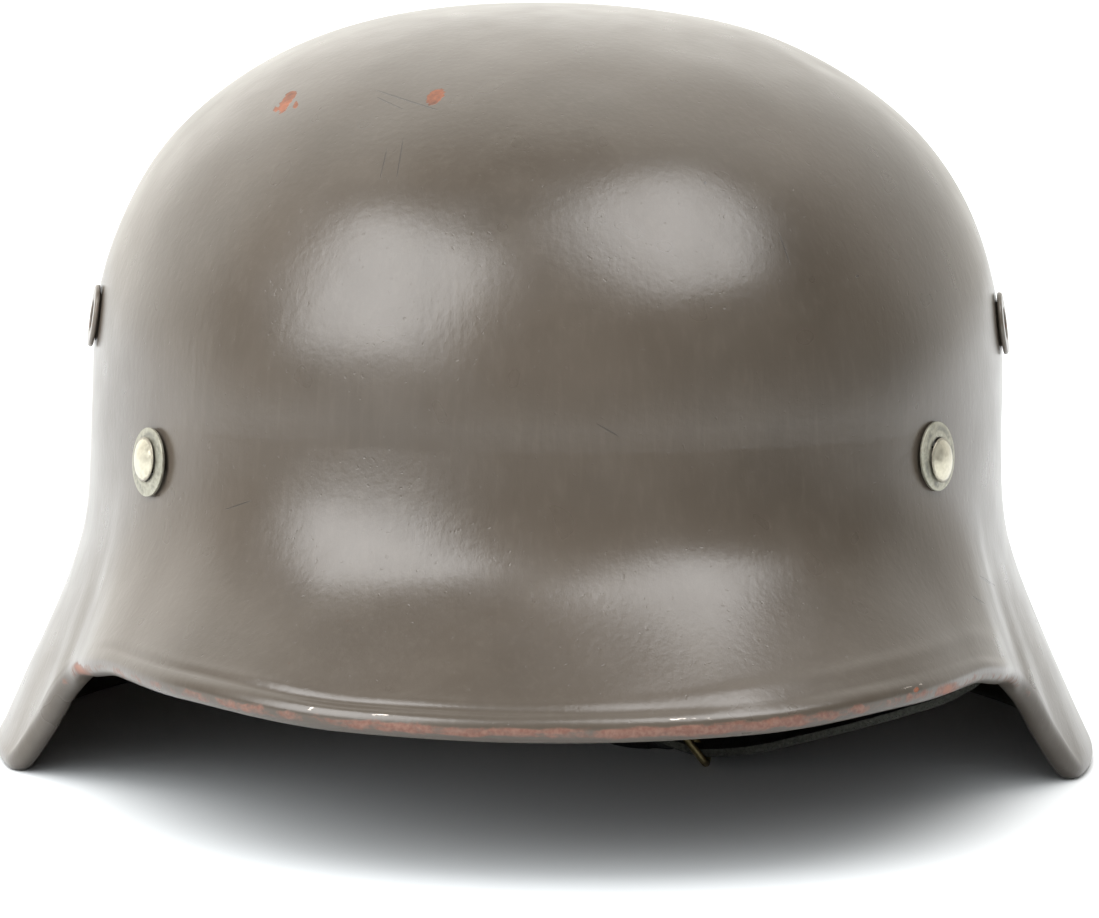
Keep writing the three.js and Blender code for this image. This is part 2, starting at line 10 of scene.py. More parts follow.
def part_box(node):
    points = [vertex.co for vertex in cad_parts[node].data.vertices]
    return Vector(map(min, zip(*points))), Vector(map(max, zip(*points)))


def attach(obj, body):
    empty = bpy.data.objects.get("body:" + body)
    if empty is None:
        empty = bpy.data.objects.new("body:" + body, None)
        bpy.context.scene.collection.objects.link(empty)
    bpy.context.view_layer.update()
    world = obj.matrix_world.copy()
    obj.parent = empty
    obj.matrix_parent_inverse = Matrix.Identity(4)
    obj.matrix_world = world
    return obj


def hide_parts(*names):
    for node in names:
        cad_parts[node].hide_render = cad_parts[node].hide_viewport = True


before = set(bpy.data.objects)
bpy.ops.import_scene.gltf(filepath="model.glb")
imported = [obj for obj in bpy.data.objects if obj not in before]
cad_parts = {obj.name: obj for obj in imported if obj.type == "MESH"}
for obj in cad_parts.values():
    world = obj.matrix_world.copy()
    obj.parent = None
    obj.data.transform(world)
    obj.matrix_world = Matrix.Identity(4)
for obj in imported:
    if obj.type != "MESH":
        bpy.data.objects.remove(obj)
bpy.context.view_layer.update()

MM = 0.001

# Bowl of pressed sheet, in millimetres like every size below
SHEET = 1.2
BOWL_HALF_WIDTH = 98.9
BOWL_FRONT = 121
BOWL_BACK = 115
CROWN_HEIGHT = 163
WALL_HEIGHT = 80
PLAN_POWER = 2.12
DOME_POWER_SIDE = 2.36
DOME_POWER_END = 2.2

# Flare below the wall
VISOR_REACH = 34
NOTCH_REACH = 10.4
SKIRT_REACH = 21.5
NECK_REACH = 30
VISOR_RISE = 32.5
VISOR_BEND = 56
SKIRT_BEND = 49
BEND_ROUND = 9
VISOR_ROUND = 16
NECK_ROUND = 28
BEAD_RADIUS = 2.7

# Liner rivets, their washers and the side vents
RIVET_ANGLE = 46.5
RIVET_HEIGHT = 72.7
RIVET_UNEVEN = 0.8
RIVET_OFFSET = 1
RIVET_SHANK = 2.5
RIVET_HEAD = 4.6
RIVET_HEAD_HEIGHT = 1.4
RIVET_TAIL = 1.2
WASHER_RADIUS = 7.1
WASHER_THICKNESS = 0.7
WASHER_DISH = 0.25
WASHER_SLIP = 0.9
VENT_ANGLE = 76
VENT_HEIGHT = 96.5
VENT_BORE = 3.4
VENT_TUBE = 4.8
VENT_FLANGE = 6.75
VENT_FLANGE_HEIGHT = 1
VENT_TAIL = 6.3
VENT_TAIL_THICKNESS = 1

# Strap, the lugs that it hangs from, and its buckle
LUG_THICKNESS = 1.2
LUG_BAR = 4.5
LUG_BAR_HEIGHT = 52
STRAP_WIDTH = 16
STRAP_THICKNESS = 1.8
STRAP_TAIL = 14
STRAP_GAP = 0.35
BUCKLE_WIRE = 1.7
BUCKLE_SPAN = 9
BUCKLE_LEAN = 50
PRONG_RADIUS = 0.8

# Clearances between neighbours
OUTER_GAP = 0.35
INNER_GAP = 0.6
BORE_GAP = 0.4
FLOOR_GAP = 0.3

# Rim by angle from the visor's middle: angle, reach beyond the wall, height of the edge,
# height of the bend where the flare starts, and how softly it bends
RIM_ROWS = np.array([
    (0, 1.0 * VISOR_REACH, 1.0 * VISOR_RISE, 1.0 * VISOR_BEND, 1.0 * VISOR_ROUND),
    (15, 0.97 * VISOR_REACH, 1.02 * VISOR_RISE, 1.0 * VISOR_BEND, 1.0 * VISOR_ROUND),
    (30, 0.8 * VISOR_REACH, 1.075 * VISOR_RISE, 1.0 * VISOR_BEND, 0.94 * VISOR_ROUND),
    (42, 0.55 * VISOR_REACH, 1.06 * VISOR_RISE, 0.99 * VISOR_BEND, 0.88 * VISOR_ROUND),
    (50, 0.435 * VISOR_REACH, 0.967 * VISOR_RISE, 0.965 * VISOR_BEND, 0.81 * VISOR_ROUND),
    (56, 1.09 * NOTCH_REACH, 0.892 * VISOR_RISE, 0.93 * VISOR_BEND, 0.75 * VISOR_ROUND),
    (60, 1.0 * NOTCH_REACH, 0.806 * VISOR_RISE, 1.02 * SKIRT_BEND, 1.1 * BEND_ROUND),
    (64, 0.57 * SKIRT_REACH, 0.634 * VISOR_RISE, 1.0 * SKIRT_BEND, 1.0 * BEND_ROUND),
    (68, 0.7 * SKIRT_REACH, 4.48 * BEAD_RADIUS, 1.0 * SKIRT_BEND, 1.0 * BEND_ROUND),
    (73, 0.9 * SKIRT_REACH, 1.2 * BEAD_RADIUS, 1.0 * SKIRT_BEND, 1.0 * BEND_ROUND),
    (82, 0.96 * SKIRT_REACH, 1.2 * BEAD_RADIUS, 1.0 * SKIRT_BEND, 1.1 * BEND_ROUND),
    (100, 1.0 * SKIRT_REACH, 1.3 * BEAD_RADIUS, 1.0 * SKIRT_BEND, 1.33 * BEND_ROUND),
    (125, 1.07 * SKIRT_REACH, 1.35 * BEAD_RADIUS, 1.02 * SKIRT_BEND, 2.0 * BEND_ROUND),
    (150, 0.9 * NECK_REACH, 1.25 * BEAD_RADIUS, 1.06 * SKIRT_BEND, 0.93 * NECK_ROUND),
    (180, 1.0 * NECK_REACH, 1.3 * BEAD_RADIUS, 1.06 * SKIRT_BEND, 1.0 * NECK_ROUND),
])
REACH, EDGE, BEND, ROUND = 1, 2, 3, 4

# Middle line of the strap from its left lug (+X) to its right lug: place in plan as shares of the
# bowl's half width, height above lying as a share of the lug bar's height, heading, and lean
STRAP_ROWS = [
    (0.945, -0.015, 0.67, 180, 0),
    (0.962, -0.04, 0.49, 180, 0),
    (0.945, -0.08, 0.33, 180, 0),
    (0.88, -0.115, 0.257, 180, 0),
    (0.775, -0.15, 0.2, 180, 0),
    (0.665, -0.175, 0.148, 180, 0),
    (0.555, -0.19, 0.1, 180, 0),
    (0.45, -0.2, 0.058, 180, 0),
    (0.34, -0.2, 0.045, 180, 0),
    (0.265, -0.185, 0.03, 168, 14),
    (0.205, -0.13, 0.01, 140, 50),
    (0.15, -0.02, 0, 117, 80),
    (0.06, 0.16, 0, 117, 90),
    (-0.06, 0.35, 0, 125, 90),
    (-0.22, 0.48, 0, 155, 90),
    (-0.4, 0.48, 0.01, 200, 82),
    (-0.56, 0.38, 0.07, 220, 60),
    (-0.7, 0.25, 0.22, 218, 34),
    (-0.82, 0.13, 0.4, 203, 14),
    (-0.895, 0.04, 0.6, 186, 3),
]
HEADING, LEAN = 3, 4
# Row that carries the buckle
BUCKLE_ROW = 8

# Fineness of the meshes. Bands of the shell's columns: where each starts and ends, and columns in it
COLUMN_BANDS = ((0, 44, 44), (44, 80, 72), (80, 180, 100))
DOME_ROWS = 56
SKIRT_ROWS = 64
BEAD_ROWS = 24
INNER_ROWS = 30
ROUND_STEPS = 96
STRAP_STEPS = 8
FOLD_STEPS = 20
TAIL_STEPS = 5
WIRE_STEPS = 16


# Surface of the bowl

def rim_value(angle, column):
    """Monotone cubic through one column of the rim rows, mirrored at the front and at the back."""
    a = np.abs(np.asarray(angle, float))
    knots = RIM_ROWS[:, 0]
    values = RIM_ROWS[:, column]
    x = np.concatenate([-knots[1:3][::-1], knots, 360 - knots[-3:-1][::-1]])
    y = np.concatenate([values[1:3][::-1], values, values[-3:-1][::-1]])
    gap = np.diff(x)
    rise = np.diff(y) / gap
    slope = np.zeros_like(y)
    before = 2 * gap[1:] + gap[:-1]
    after = gap[1:] + 2 * gap[:-1]
    same = rise[:-1] * rise[1:] > 0
    with np.errstate(divide="ignore", invalid="ignore"):
        slope[1:-1] = np.where(same, (before + after) / (before / rise[:-1] + after / rise[1:]), 0)
    i = np.clip(np.searchsorted(x, a, side="right") - 1, 1, len(x) - 3)
    t = (a - x[i]) / gap[i]
    start = y[i] * (1 + 2 * t) * (1 - t) ** 2 + gap[i] * slope[i] * t * (1 - t) ** 2
    return start + y[i + 1] * t * t * (3 - 2 * t) + gap[i] * slope[i + 1] * t * t * (t - 1)


def ramp(z, bend, softness):
    below = bend - z
    return (below + np.hypot(below, softness)) / 2


def bowl_radius(angle, z):
    c = np.cos(np.radians(angle))
    s = np.abs(np.sin(np.radians(angle)))
    end = np.where(c > 0, BOWL_FRONT, BOWL_BACK)
    wall = ((np.abs(c) / end) ** PLAN_POWER + (s / BOWL_HALF_WIDTH) ** PLAN_POWER) ** (-1 / PLAN_POWER)
    power = DOME_POWER_SIDE + (DOME_POWER_END - DOME_POWER_SIDE) * c * c
    up = np.clip((z - WALL_HEIGHT) / (CROWN_HEIGHT - WALL_HEIGHT), 0, 1)
    dome = np.maximum(0, 1 - up ** power) ** (1 / power)
    bend = rim_value(angle, BEND)
    softness = rim_value(angle, ROUND)
    at_wall = ramp(WALL_HEIGHT, bend, softness)
    at_edge = ramp(rim_value(angle, EDGE), bend, softness)
    share = (ramp(z, bend, softness) - at_wall) / (at_edge - at_wall)
    return np.where(z >= WALL_HEIGHT, wall * dome, wall + rim_value(angle, REACH) * share)


def outer_point(angle, z):
    angle, z = np.broadcast_arrays(np.asarray(angle, float), np.asarray(z, float))
    r = bowl_radius(angle, z)
    return np.stack([r * np.sin(np.radians(angle)), -r * np.cos(np.radians(angle)), z], -1)


def unit(vectors):
    return vectors / np.linalg.norm(vectors, axis=-1, keepdims=True)


def outer_normal(angle, z):
    """Unit normal from small steps round and up the surface."""
    turn = 0.01
    climb = np.minimum(0.05, (CROWN_HEIGHT - np.asarray(z, float)) / 2)
    around = outer_point(angle + turn, z) - outer_point(angle - turn, z)
    up = outer_point(angle, z + climb) - outer_point(angle, z - climb)
    return unit(np.cross(around, up))


def dome_height(share):
    """Height of a row of the dome, from 0 at the crown to 1 at the wall."""
    turn = np.cos(share * math.pi / 2)
    return WALL_HEIGHT + (CROWN_HEIGHT - WALL_HEIGHT) * turn ** (2 / DOME_POWER_SIDE)


def seat(angle, z, along=0.0, up=0.0):
    """Placement on the outer surface: +Z outwards, +Y up the wall, +X along the wall."""
    out = outer_normal(float(angle), float(z))
    side = unit(np.cross((0, 0, 1), out))
    climb = np.cross(out, side)
    place = np.eye(4)
    place[:3, 0] = side
    place[:3, 1] = climb
    place[:3, 2] = out
    place[:3, 3] = outer_point(float(angle), float(z)) + side * along + climb * up
    return place


def seat_rise(place, radius):
    """How far the outer surface stands above its seat within a radius of it."""
    turns = np.linspace(0, 2 * math.pi, 20, endpoint=False)
    ring = np.stack([radius * np.cos(turns), radius * np.sin(turns), 0 * turns, 1 + 0 * turns])
    points = (place @ ring)[:3].T
    distance = np.hypot(points[:, 0], points[:, 1])
    tilt = (place[0, 2] * points[:, 0] + place[1, 2] * points[:, 1]) / distance
    angle = np.degrees(np.arctan2(points[:, 0], -points[:, 1]))
    return max(0.0, float(((bowl_radius(angle, points[:, 2]) - distance) * tilt).max()))


# Small unevenness of the pressed sheet: waves all over, dents given by centre, radius and depth, and
# the groove and ridge above the visor's bead with the distances from the edge where they lie
WAVES = 14
WAVE_DEPTH = 0.055
WAVE_LONG = 70
WAVE_SHORT = 28
DENTS = [
    ((57, -18, 151), 8, 0.5),
    ((9, -68, 147), 7, 0.35),
    ((-38, -72, 141), 10, 0.35),
    ((34, -100, 120), 12, 0.3),
    ((-70, 40, 120), 12, 0.5),
    ((20, 95, 125), 13, 0.5),
    ((85, 30, 100), 11, 0.4),
]
GROOVE_ABOVE = 1.9
GROOVE_WIDTH = 0.9
GROOVE_DEPTH = 0.34
RIDGE_ABOVE = 3.9
RIDGE_WIDTH = 0.95
RIDGE_HEIGHT = 0.1

# The groove and ridge end at these angles on the two sides, and fade over some degrees
RELIEF_END_RIGHT = 44
RELIEF_END_LEFT = 52
RELIEF_FADE = 2.5

# Across the visor the groove gives way to a broader ridge that lies farther up the flare: where in X
# each fades, over how much, and by how much the shapes differ there
WORN_END = 18
WORN_FADE = 9
BROAD_START = 30
BROAD_FADE = 8
BROAD_GROOVE = 0.3
BROAD_RIDGE = 2.2
BROAD_RISE = 2.6
SWELL_HEIGHT = 0.1
SWELL_TURN = 0.21
SWELL_WIDTH = 4


def bump_shape(value, centre, width):
    return np.exp(-((value - centre) / width) ** 2)


def fade(value, end, softness):
    """1 well below the end and 0 well above it."""
    return 1 / (1 + np.exp((value - end) / softness))


def edge_distance(angle, z):
    """Distance down the outer surface to the rim's edge, where the bead starts."""
    edge = rim_value(angle, EDGE)
    low = edge + 0.35 * (z - edge)
    slope = (bowl_radius(angle, low + 0.2) - bowl_radius(angle, low - 0.2)) / 0.4
    return (z - edge) * np.sqrt(1 + slope ** 2)


def relief(points, angle, z):
    """Height of the worn sheet above its ideal surface."""
    rng = np.random.default_rng(5)
    height = np.zeros(points.shape[:-1])
    for _ in range(WAVES):
        heading = unit(rng.normal(size=3))
        length = WAVE_SHORT + (WAVE_LONG - WAVE_SHORT) * rng.random()
        phase = 2 * math.pi * rng.random()
        height += WAVE_DEPTH * np.sin(points @ heading * (2 * math.pi / length) + phase)
    for centre, radius, depth in DENTS:
        distance = np.linalg.norm(points - np.array(centre, float), axis=-1)
        height -= depth * np.exp(-(distance / radius) ** 2)
    below = np.where(z < WALL_HEIGHT, edge_distance(angle, np.minimum(z, WALL_HEIGHT)), 99)
    x = points[..., 0]
    visor = fade(np.abs(angle), np.where(x < 0, RELIEF_END_RIGHT, RELIEF_END_LEFT), RELIEF_FADE)
    worn = fade(x, WORN_END, WORN_FADE)
    broad = fade(-x, -BROAD_START, BROAD_FADE)
    groove = GROOVE_DEPTH * worn + BROAD_GROOVE * GROOVE_DEPTH * broad
    ridge = RIDGE_HEIGHT * worn + BROAD_RIDGE * RIDGE_HEIGHT * broad
    ridge_place = RIDGE_ABOVE + BROAD_RISE * broad
    height -= visor * groove * bump_shape(below, GROOVE_ABOVE, GROOVE_WIDTH)
    height += visor * ridge * bump_shape(below, ridge_place, RIDGE_WIDTH * (1 + broad))
    swell = SWELL_HEIGHT * visor * np.sin(x * SWELL_TURN)
    return height + swell * bump_shape(below, RIDGE_ABOVE, SWELL_WIDTH)


# Mesh helpers

def mesh_object(name, points, faces, material, smooth=True):
    mesh = bpy.data.meshes.new(name)
    mesh.from_pydata((np.asarray(points) * MM).tolist(), [], faces)
    mesh.validate()
    mesh.update()
    if smooth:
        mesh.shade_smooth()
    piece = bpy.data.objects.new(name, mesh)
    bpy.context.scene.collection.objects.link(piece)
    if material:
        mesh.materials.append(material)
    return piece


def set_attribute(piece, name, values):
    attribute = piece.data.attributes.new(name, "FLOAT", "POINT")
    attribute.data.foreach_set("value", np.asarray(values, np.float32))


def placed(points, place):
    points = np.asarray(points, float)
    return points @ place[:3, :3].T + place[:3, 3]


def turned(profile, steps=ROUND_STEPS):
    """Points and faces of a round solid from (radius, height) pairs, closed on itself or its axis."""
    closed = np.allclose(profile[0], profile[-1])
    rows = profile[:-1] if closed else profile
    turns = np.linspace(0, 2 * math.pi, steps, endpoint=False)
    points = []
    rings = []
    for r, z in rows:
        if r < 1e-9:
            rings.append([len(points)] * steps)
            points.append((0.0, 0.0, z))
        else:
            rings.append([len(points) + k for k in range(steps)])
            points.extend((r * math.cos(a), r * math.sin(a), z) for a in turns)
    pairs = list(zip(rings, rings[1:]))
    if closed:
        pairs.append((rings[-1], rings[0]))
    faces = []
    for low, high in pairs:
        for k in range(steps):
            n = (k + 1) % steps
            corners = [low[k], low[n], high[n], high[k]]
            faces.append(list(dict.fromkeys(corners)))
    return np.array(points), faces


def arc(centre_r, centre_z, radius, start, end, steps):
    angles = np.radians(np.linspace(start, end, steps + 1))
    return [(centre_r + radius * math.cos(a), centre_z + radius * math.sin(a)) for a in angles]


def cut(piece, cutters):
    """Cuts closed tool meshes out of a closed piece."""
    for tool in cutters:
        change = piece.modifiers.new("cut", "BOOLEAN")
        change.operation = "DIFFERENCE"
        change.solver = "EXACT"
        change.object = tool
    graph = bpy.context.evaluated_depsgraph_get()
    mesh = bpy.data.meshes.new_from_object(piece.evaluated_get(graph))
    piece.modifiers.clear()
    piece.data = mesh
    for tool in cutters:
        bpy.data.objects.remove(tool)


def drill(place, radius, reach):
    points, faces = turned([(0, -reach), (radius, -reach), (radius, reach), (0, reach)], 48)
    return mesh_object("drill", placed(points, place), faces, None, smooth=False)


# Node helpers for the materials

class Nodes:
    """Short names for building a tree of nodes."""

    def __init__(self, tree):
        self.tree = tree

    def node(self, kind, inputs=None, **settings):
        """New node whose inputs are given by name or number, as values or as other nodes' outputs."""
        made = self.tree.nodes.new(kind)
        for key, value in settings.items():
            setattr(made, key, value)
        for key, value in (inputs or {}).items():
            self.feed(made.inputs[key], value)
        return made

    def feed(self, socket, value):
        if isinstance(value, bpy.types.NodeSocket):
            self.tree.links.new(value, socket)
        else:
            socket.default_value = value

    def place(self):
        """Object coordinates in millimetres."""
        inputs = {0: self.node("ShaderNodeTexCoord").outputs["Object"], "Scale": 1 / MM}
        return self.node("ShaderNodeVectorMath", inputs, operation="SCALE").outputs[0]

    def noise(self, place, length, detail=3.0, roughness=0.5, distortion=0.0, stretch=None):
        """Noise whose features are about `length` millimetres long."""
        if stretch:
            place = self.node("ShaderNodeMapping", {"Vector": place, "Scale": stretch}).outputs["Vector"]
        made = self.node("ShaderNodeTexNoise", {
            "Vector": place,
            "Scale": 1 / length,
            "Detail": detail,
            "Roughness": roughness,
            "Distortion": distortion,
        })
        return made.outputs["Fac"]

    def attribute(self, name):
        return self.node("ShaderNodeAttribute", attribute_name=name).outputs["Fac"]

    def math(self, operation, a, b):
        return self.node("ShaderNodeMath", {0: a, 1: b}, operation=operation).outputs[0]

    def plus(self, a, b):
        return self.math("ADD", a, b)

    def minus(self, a, b):
        return self.math("SUBTRACT", a, b)

    def times(self, a, b):
        return self.math("MULTIPLY", a, b)

    def larger(self, a, b):
        return self.math("MAXIMUM", a, b)

    def line(self, value, low, high, start=0.0, end=1.0, kind="LINEAR"):
        """Value from low to high carried over to start to end, and held beyond them."""
        inputs = {"Value": value, "From Min": low, "From Max": high, "To Min": start, "To Max": end}
        return self.node("ShaderNodeMapRange", inputs, interpolation_type=kind).outputs[0]

    def steps(self, value, low, high, start=0.0, end=1.0):
        """The same with a smooth start and end."""
        return self.line(value, low, high, start, end, kind="SMOOTHSTEP")

    def mix(self, share, a, b):
        """Mix of two colours."""
        return self.node("ShaderNodeMix", {0: share, 6: a, 7: b}, data_type="RGBA").outputs[2]

    def spot(self, place, centre, size, turn, ragged):
        """1 inside a ragged ellipse seen from the front, and 0 outside."""
        inputs = {
            "Vector": place,
            "Location": centre,
            "Rotation": (0, math.radians(turn), 0),
            "Scale": (size[0], max(SPOT_DEPTH, 6 * max(size)), size[1]),
        }
        mapping = self.node("ShaderNodeMapping", inputs, vector_type="TEXTURE")
        length = self.node("ShaderNodeVectorMath", {0: mapping.outputs["Vector"]}, operation="LENGTH")
        return self.steps(self.plus(length.outputs["Value"], ragged), 1.06, 0.94)

    def bump(self, height, distance):
        inputs = {"Height": height, "Distance": distance * MM, "Strength": 1.0}
        return self.node("ShaderNodeBump", inputs).outputs["Normal"]


class Shade(Nodes):
    """Nodes of one new material with its shader."""

    def __init__(self, name):
        self.material = bpy.data.materials.new(name)
        self.material.use_nodes = True
        super().__init__(self.material.node_tree)
        self.shader = self.tree.nodes["Principled BSDF"]

    def put(self, socket, value):
        """Sets an input of the shader to a number, a colour or another node's output."""
        self.feed(self.shader.inputs[socket], value)


def color(r, g, b):
    return (r, g, b, 1.0)


PAINT_DARK = color(0.056, 0.045, 0.034)
PAINT = color(0.079, 0.064, 0.050)
PAINT_WORN = color(0.138, 0.119, 0.096)
RUST_DARK = color(0.075, 0.032, 0.018)
RUST = color(0.30, 0.095, 0.042)
RIM_RED = color(0.17, 0.055, 0.033)
RIM_PINK = color(0.25, 0.115, 0.080)
BARE_STEEL = color(0.40, 0.36, 0.32)
SCRATCH_DARK = color(0.03, 0.026, 0.024)

# Chips and scratches in the paint: centre from the bowl's axis and the floor, half sizes in X and Z,
# and turn in degrees. Half of a spot's depth along Y is this or more, so that it meets the curved sheet
SPOT_DEPTH = 12
CHIPS = [
    ((-54.8, -48.8, 144.0), (1.05, 2.9), 38),
    ((-56.8, -47.0, 142.2), (0.8, 1.5), 20),
    ((-52.6, -51.5, 143.6), (0.6, 1.0), 10),
    ((-23.4, -67.6, 146.6), (2.1, 1.35), -25),
    ((72.7, -115.9, 33.7), (0.9, 0.7), 0),
]
SCRATCHES = [
    ((-29.7, -66.9, 145.9), (6.5, 0.12), 14),
    ((-33.0, -66.0, 145.2), (3.0, 0.10), 20),
    ((92.0, -70.0, 46.0), (3.4, 0.2), 42),
    ((88.5, -72.0, 44.5), (2.2, 0.16), 38),
    ((-30.2, -84.1, 134.8), (0.14, 4.0), 8),
    ((-33.5, -84.1, 133.8), (0.12, 3.0), 12),
    ((47.0, -96.0, 118.0), (0.12, 3.2), -20),
    ((12.0, -122.0, 84.0), (2.6, 0.12), 30),
    ((-62.0, -104.0, 66.0), (3.0, 0.12), -24),
    ((31.0, -90.0, 131.0), (0.3, 0.35), 0),
    ((62.0, -80.0, 112.0), (0.4, 0.3), 0),
    ((80.0, -62.0, 95.0), (0.3, 0.5), 20),
    ((-112.7, -20.0, 22.2), (0.35, 0.4), 0),
    ((-116.0, -20.0, 8.4), (0.3, 0.4), 0),
    ((108.0, -22.0, 15.2), (0.4, 0.35), 0),
]


def paint_material():
    s = Shade("shell_paint")
    place = s.place()
    broad = s.noise(place, 55, 3, 0.55)
    patches = s.noise(place, 17, 4, 0.6, 0.4)
    fine = s.noise(place, 3.2, 4, 0.6)
    grain = s.noise(place, 0.9, 2, 0.5)
    tone = s.mix(s.line(broad, 0.3, 0.7), PAINT_DARK, PAINT)
    streaks = s.noise(place, 1.5, 3, 0.55, 0.2, stretch=(1, 1, 0.14))
    tone = s.mix(s.steps(patches, 0.45, 0.85, 0.0, 0.14), tone, PAINT_WORN)
    tone = s.mix(s.steps(streaks, 0.45, 0.8, 0.0, 0.12), tone, PAINT_WORN)

    ragged = s.line(fine, 0.25, 0.75, -0.45, 0.45)
    chips = 0.0
    for centre, size, turn in CHIPS:
        chips = s.larger(chips, s.spot(place, centre, size, turn, ragged))
    scratch = 0.0
    for centre, size, turn in SCRATCHES:
        spot = s.spot(place, centre, size, turn, s.times(ragged, 0.7))
        scratch = s.larger(scratch, spot)

    specks = s.steps(s.noise(place, 0.9, 1, 0.5), 0.77, 0.8)
    specks = s.times(specks, s.steps(patches, 0.5, 0.62))

    rim = s.attribute("rim_wear")
    rim_noise = s.noise(place, 3.2, 5, 0.65, 0.4, stretch=(0.35, 1, 1))
    rim_rust = s.steps(s.plus(rim, s.line(rim_noise, 0.2, 0.8, -0.4, 0.4)), 0.38, 0.68)
    rim_rust = s.times(rim_rust, s.steps(rim, 0.05, 0.3))
    shiny = s.noise(place, 2.2, 4, 0.65, 0.2, stretch=(0.22, 1, 1))
    bare = s.plus(s.attribute("rim_bare"), s.line(shiny, 0.2, 0.8, -0.5, 0.5))
    bright = s.steps(bare, 0.5, 0.62)

    inside = s.steps(s.attribute("inside"), 0.5, 0.8)
    stain = s.times(inside, s.steps(s.noise(place, 13, 5, 0.65, 0.6), 0.47, 0.66))

    rust_tone = s.mix(s.line(fine, 0.3, 0.7), RUST_DARK, RUST)
    rim_tone = s.mix(s.line(grain, 0.35, 0.65), RIM_RED, RIM_PINK)
    rim_tone = s.mix(s.steps(s.plus(rim, fine), 1.2, 1.5), rim_tone, RUST)
    surface = s.mix(s.times(specks, 0.3), tone, RUST_DARK)
    surface = s.mix(s.times(stain, 0.7), surface, RUST_DARK)
    surface = s.mix(s.times(scratch, 0.6), surface, SCRATCH_DARK)
    surface = s.mix(chips, surface, rust_tone)
    surface = s.mix(s.times(rim_rust, 0.66), surface, rim_tone)
    surface = s.mix(bright, surface, BARE_STEEL)
    s.put("Base Color", surface)

    rusty = s.larger(chips, s.times(s.larger(rim_rust, stain), 0.8))
    gloss = s.line(s.noise(place, 9, 1, 0.5), 0.15, 0.85, 0.26, 0.33)
    s.put("Roughness", s.plus(gloss, s.times(rusty, 0.35)))
    s.put("Metallic", s.times(bright, 0.7))
    s.put("IOR", 1.52)

    peel = s.noise(place, 1.5, 2, 0.5)
    pits = s.steps(s.noise(place, 1.1, 1, 0.5), 0.2, 0.3)
    height = s.plus(s.times(peel, 0.5), s.times(pits, 0.35))
    height = s.plus(height, s.times(streaks, 0.45))
    height = s.plus(height, s.times(s.noise(place, 0.45, 2, 0.5), 0.1))
    height = s.minus(height, s.times(s.larger(chips, scratch), 0.9))
    height = s.plus(height, s.times(s.times(rusty, fine), 0.7))
    s.put("Normal", s.bump(height, 0.065))
    return s.material


def vent_material():
    s = Shade("vent_paint")
    place = s.place()
    fine = s.noise(place, 2.4, 4, 0.6)
    worn = s.plus(s.attribute("edge_weight"), s.line(fine, 0.2, 0.8, -0.45, 0.45))
    rust = s.steps(worn, 0.5, 0.75)
    tone = s.mix(s.line(s.noise(place, 3, 3, 0.6), 0.3, 0.7), PAINT, PAINT_WORN)
    rust_tone = s.mix(s.line(fine, 0.3, 0.8), RUST_DARK, RUST)
    s.put("Base Color", s.mix(s.times(rust, 0.6), tone, rust_tone))
    s.put("Roughness", s.line(rust, 0, 1, 0.3, 0.6))
    height = s.plus(s.noise(place, 1.2, 3, 0.5), s.times(rust, 0.5))
    s.put("Normal", s.bump(height, 0.08))
    return s.material


def washer_material():
    s = Shade("washer_steel")
    place = s.place()
    patch = s.steps(s.noise(place, 3.4, 4, 0.6, 0.4), 0.42, 0.6)
    fine = s.noise(place, 1.1, 3, 0.6)
    paint = s.mix(s.line(fine, 0.3, 0.7), color(0.105, 0.1, 0.078), color(0.19, 0.186, 0.15))
    steel = s.mix(s.line(fine, 0.3, 0.7), color(0.25, 0.24, 0.19), color(0.40, 0.39, 0.32))
    worn = s.larger(patch, s.steps(s.attribute("edge_weight"), 0.4, 0.9))
    s.put("Base Color", s.mix(worn, paint, steel))
    s.put("Metallic", s.times(worn, 0.75))
    s.put("Roughness", s.line(fine, 0.2, 0.8, 0.36, 0.6))
    s.put("Normal", s.bump(s.plus(fine, s.times(worn, -0.35)), 0.1))
    return s.material


def rivet_material():
    s = Shade("rivet_metal")
    place = s.place()
    fine = s.noise(place, 1.3, 4, 0.6)
    near_edge = s.plus(s.attribute("edge_weight"), s.line(fine, 0.2, 0.8, -0.3, 0.3))
    # The head is painted darker and less metallic towards its rim, where it meets the washer.
    darker_rim = s.steps(near_edge, 0.55, 0.95)
    metal = s.mix(s.line(fine, 0.3, 0.7), color(0.43, 0.40, 0.31), color(0.60, 0.57, 0.46))
    s.put("Base Color", s.mix(s.times(darker_rim, 0.75), metal, color(0.13, 0.11, 0.08)))
    s.put("Metallic", s.minus(0.75, s.times(darker_rim, 0.4)))
    s.put("Roughness", s.line(fine, 0.2, 0.8, 0.26, 0.5))
    s.put("Normal", s.bump(fine, 0.1))
    return s.material


def lug_material():
    s = Shade("lug_steel")
    place = s.place()
    fine = s.noise(place, 2.0, 4, 0.65)
    rust = s.steps(s.noise(place, 6, 5, 0.65, 0.5), 0.5, 0.66)
    steel = s.mix(s.line(fine, 0.3, 0.7), color(0.10, 0.10, 0.095), color(0.22, 0.22, 0.205))
    s.put("Base Color", s.mix(s.times(rust, 0.8), steel, RUST_DARK))
    s.put("Metallic", s.minus(0.8, s.times(rust, 0.7)))
    s.put("Roughness", s.line(fine, 0.2, 0.8, 0.45, 0.7))
    s.put("Normal", s.bump(fine, 0.12))
    return s.material


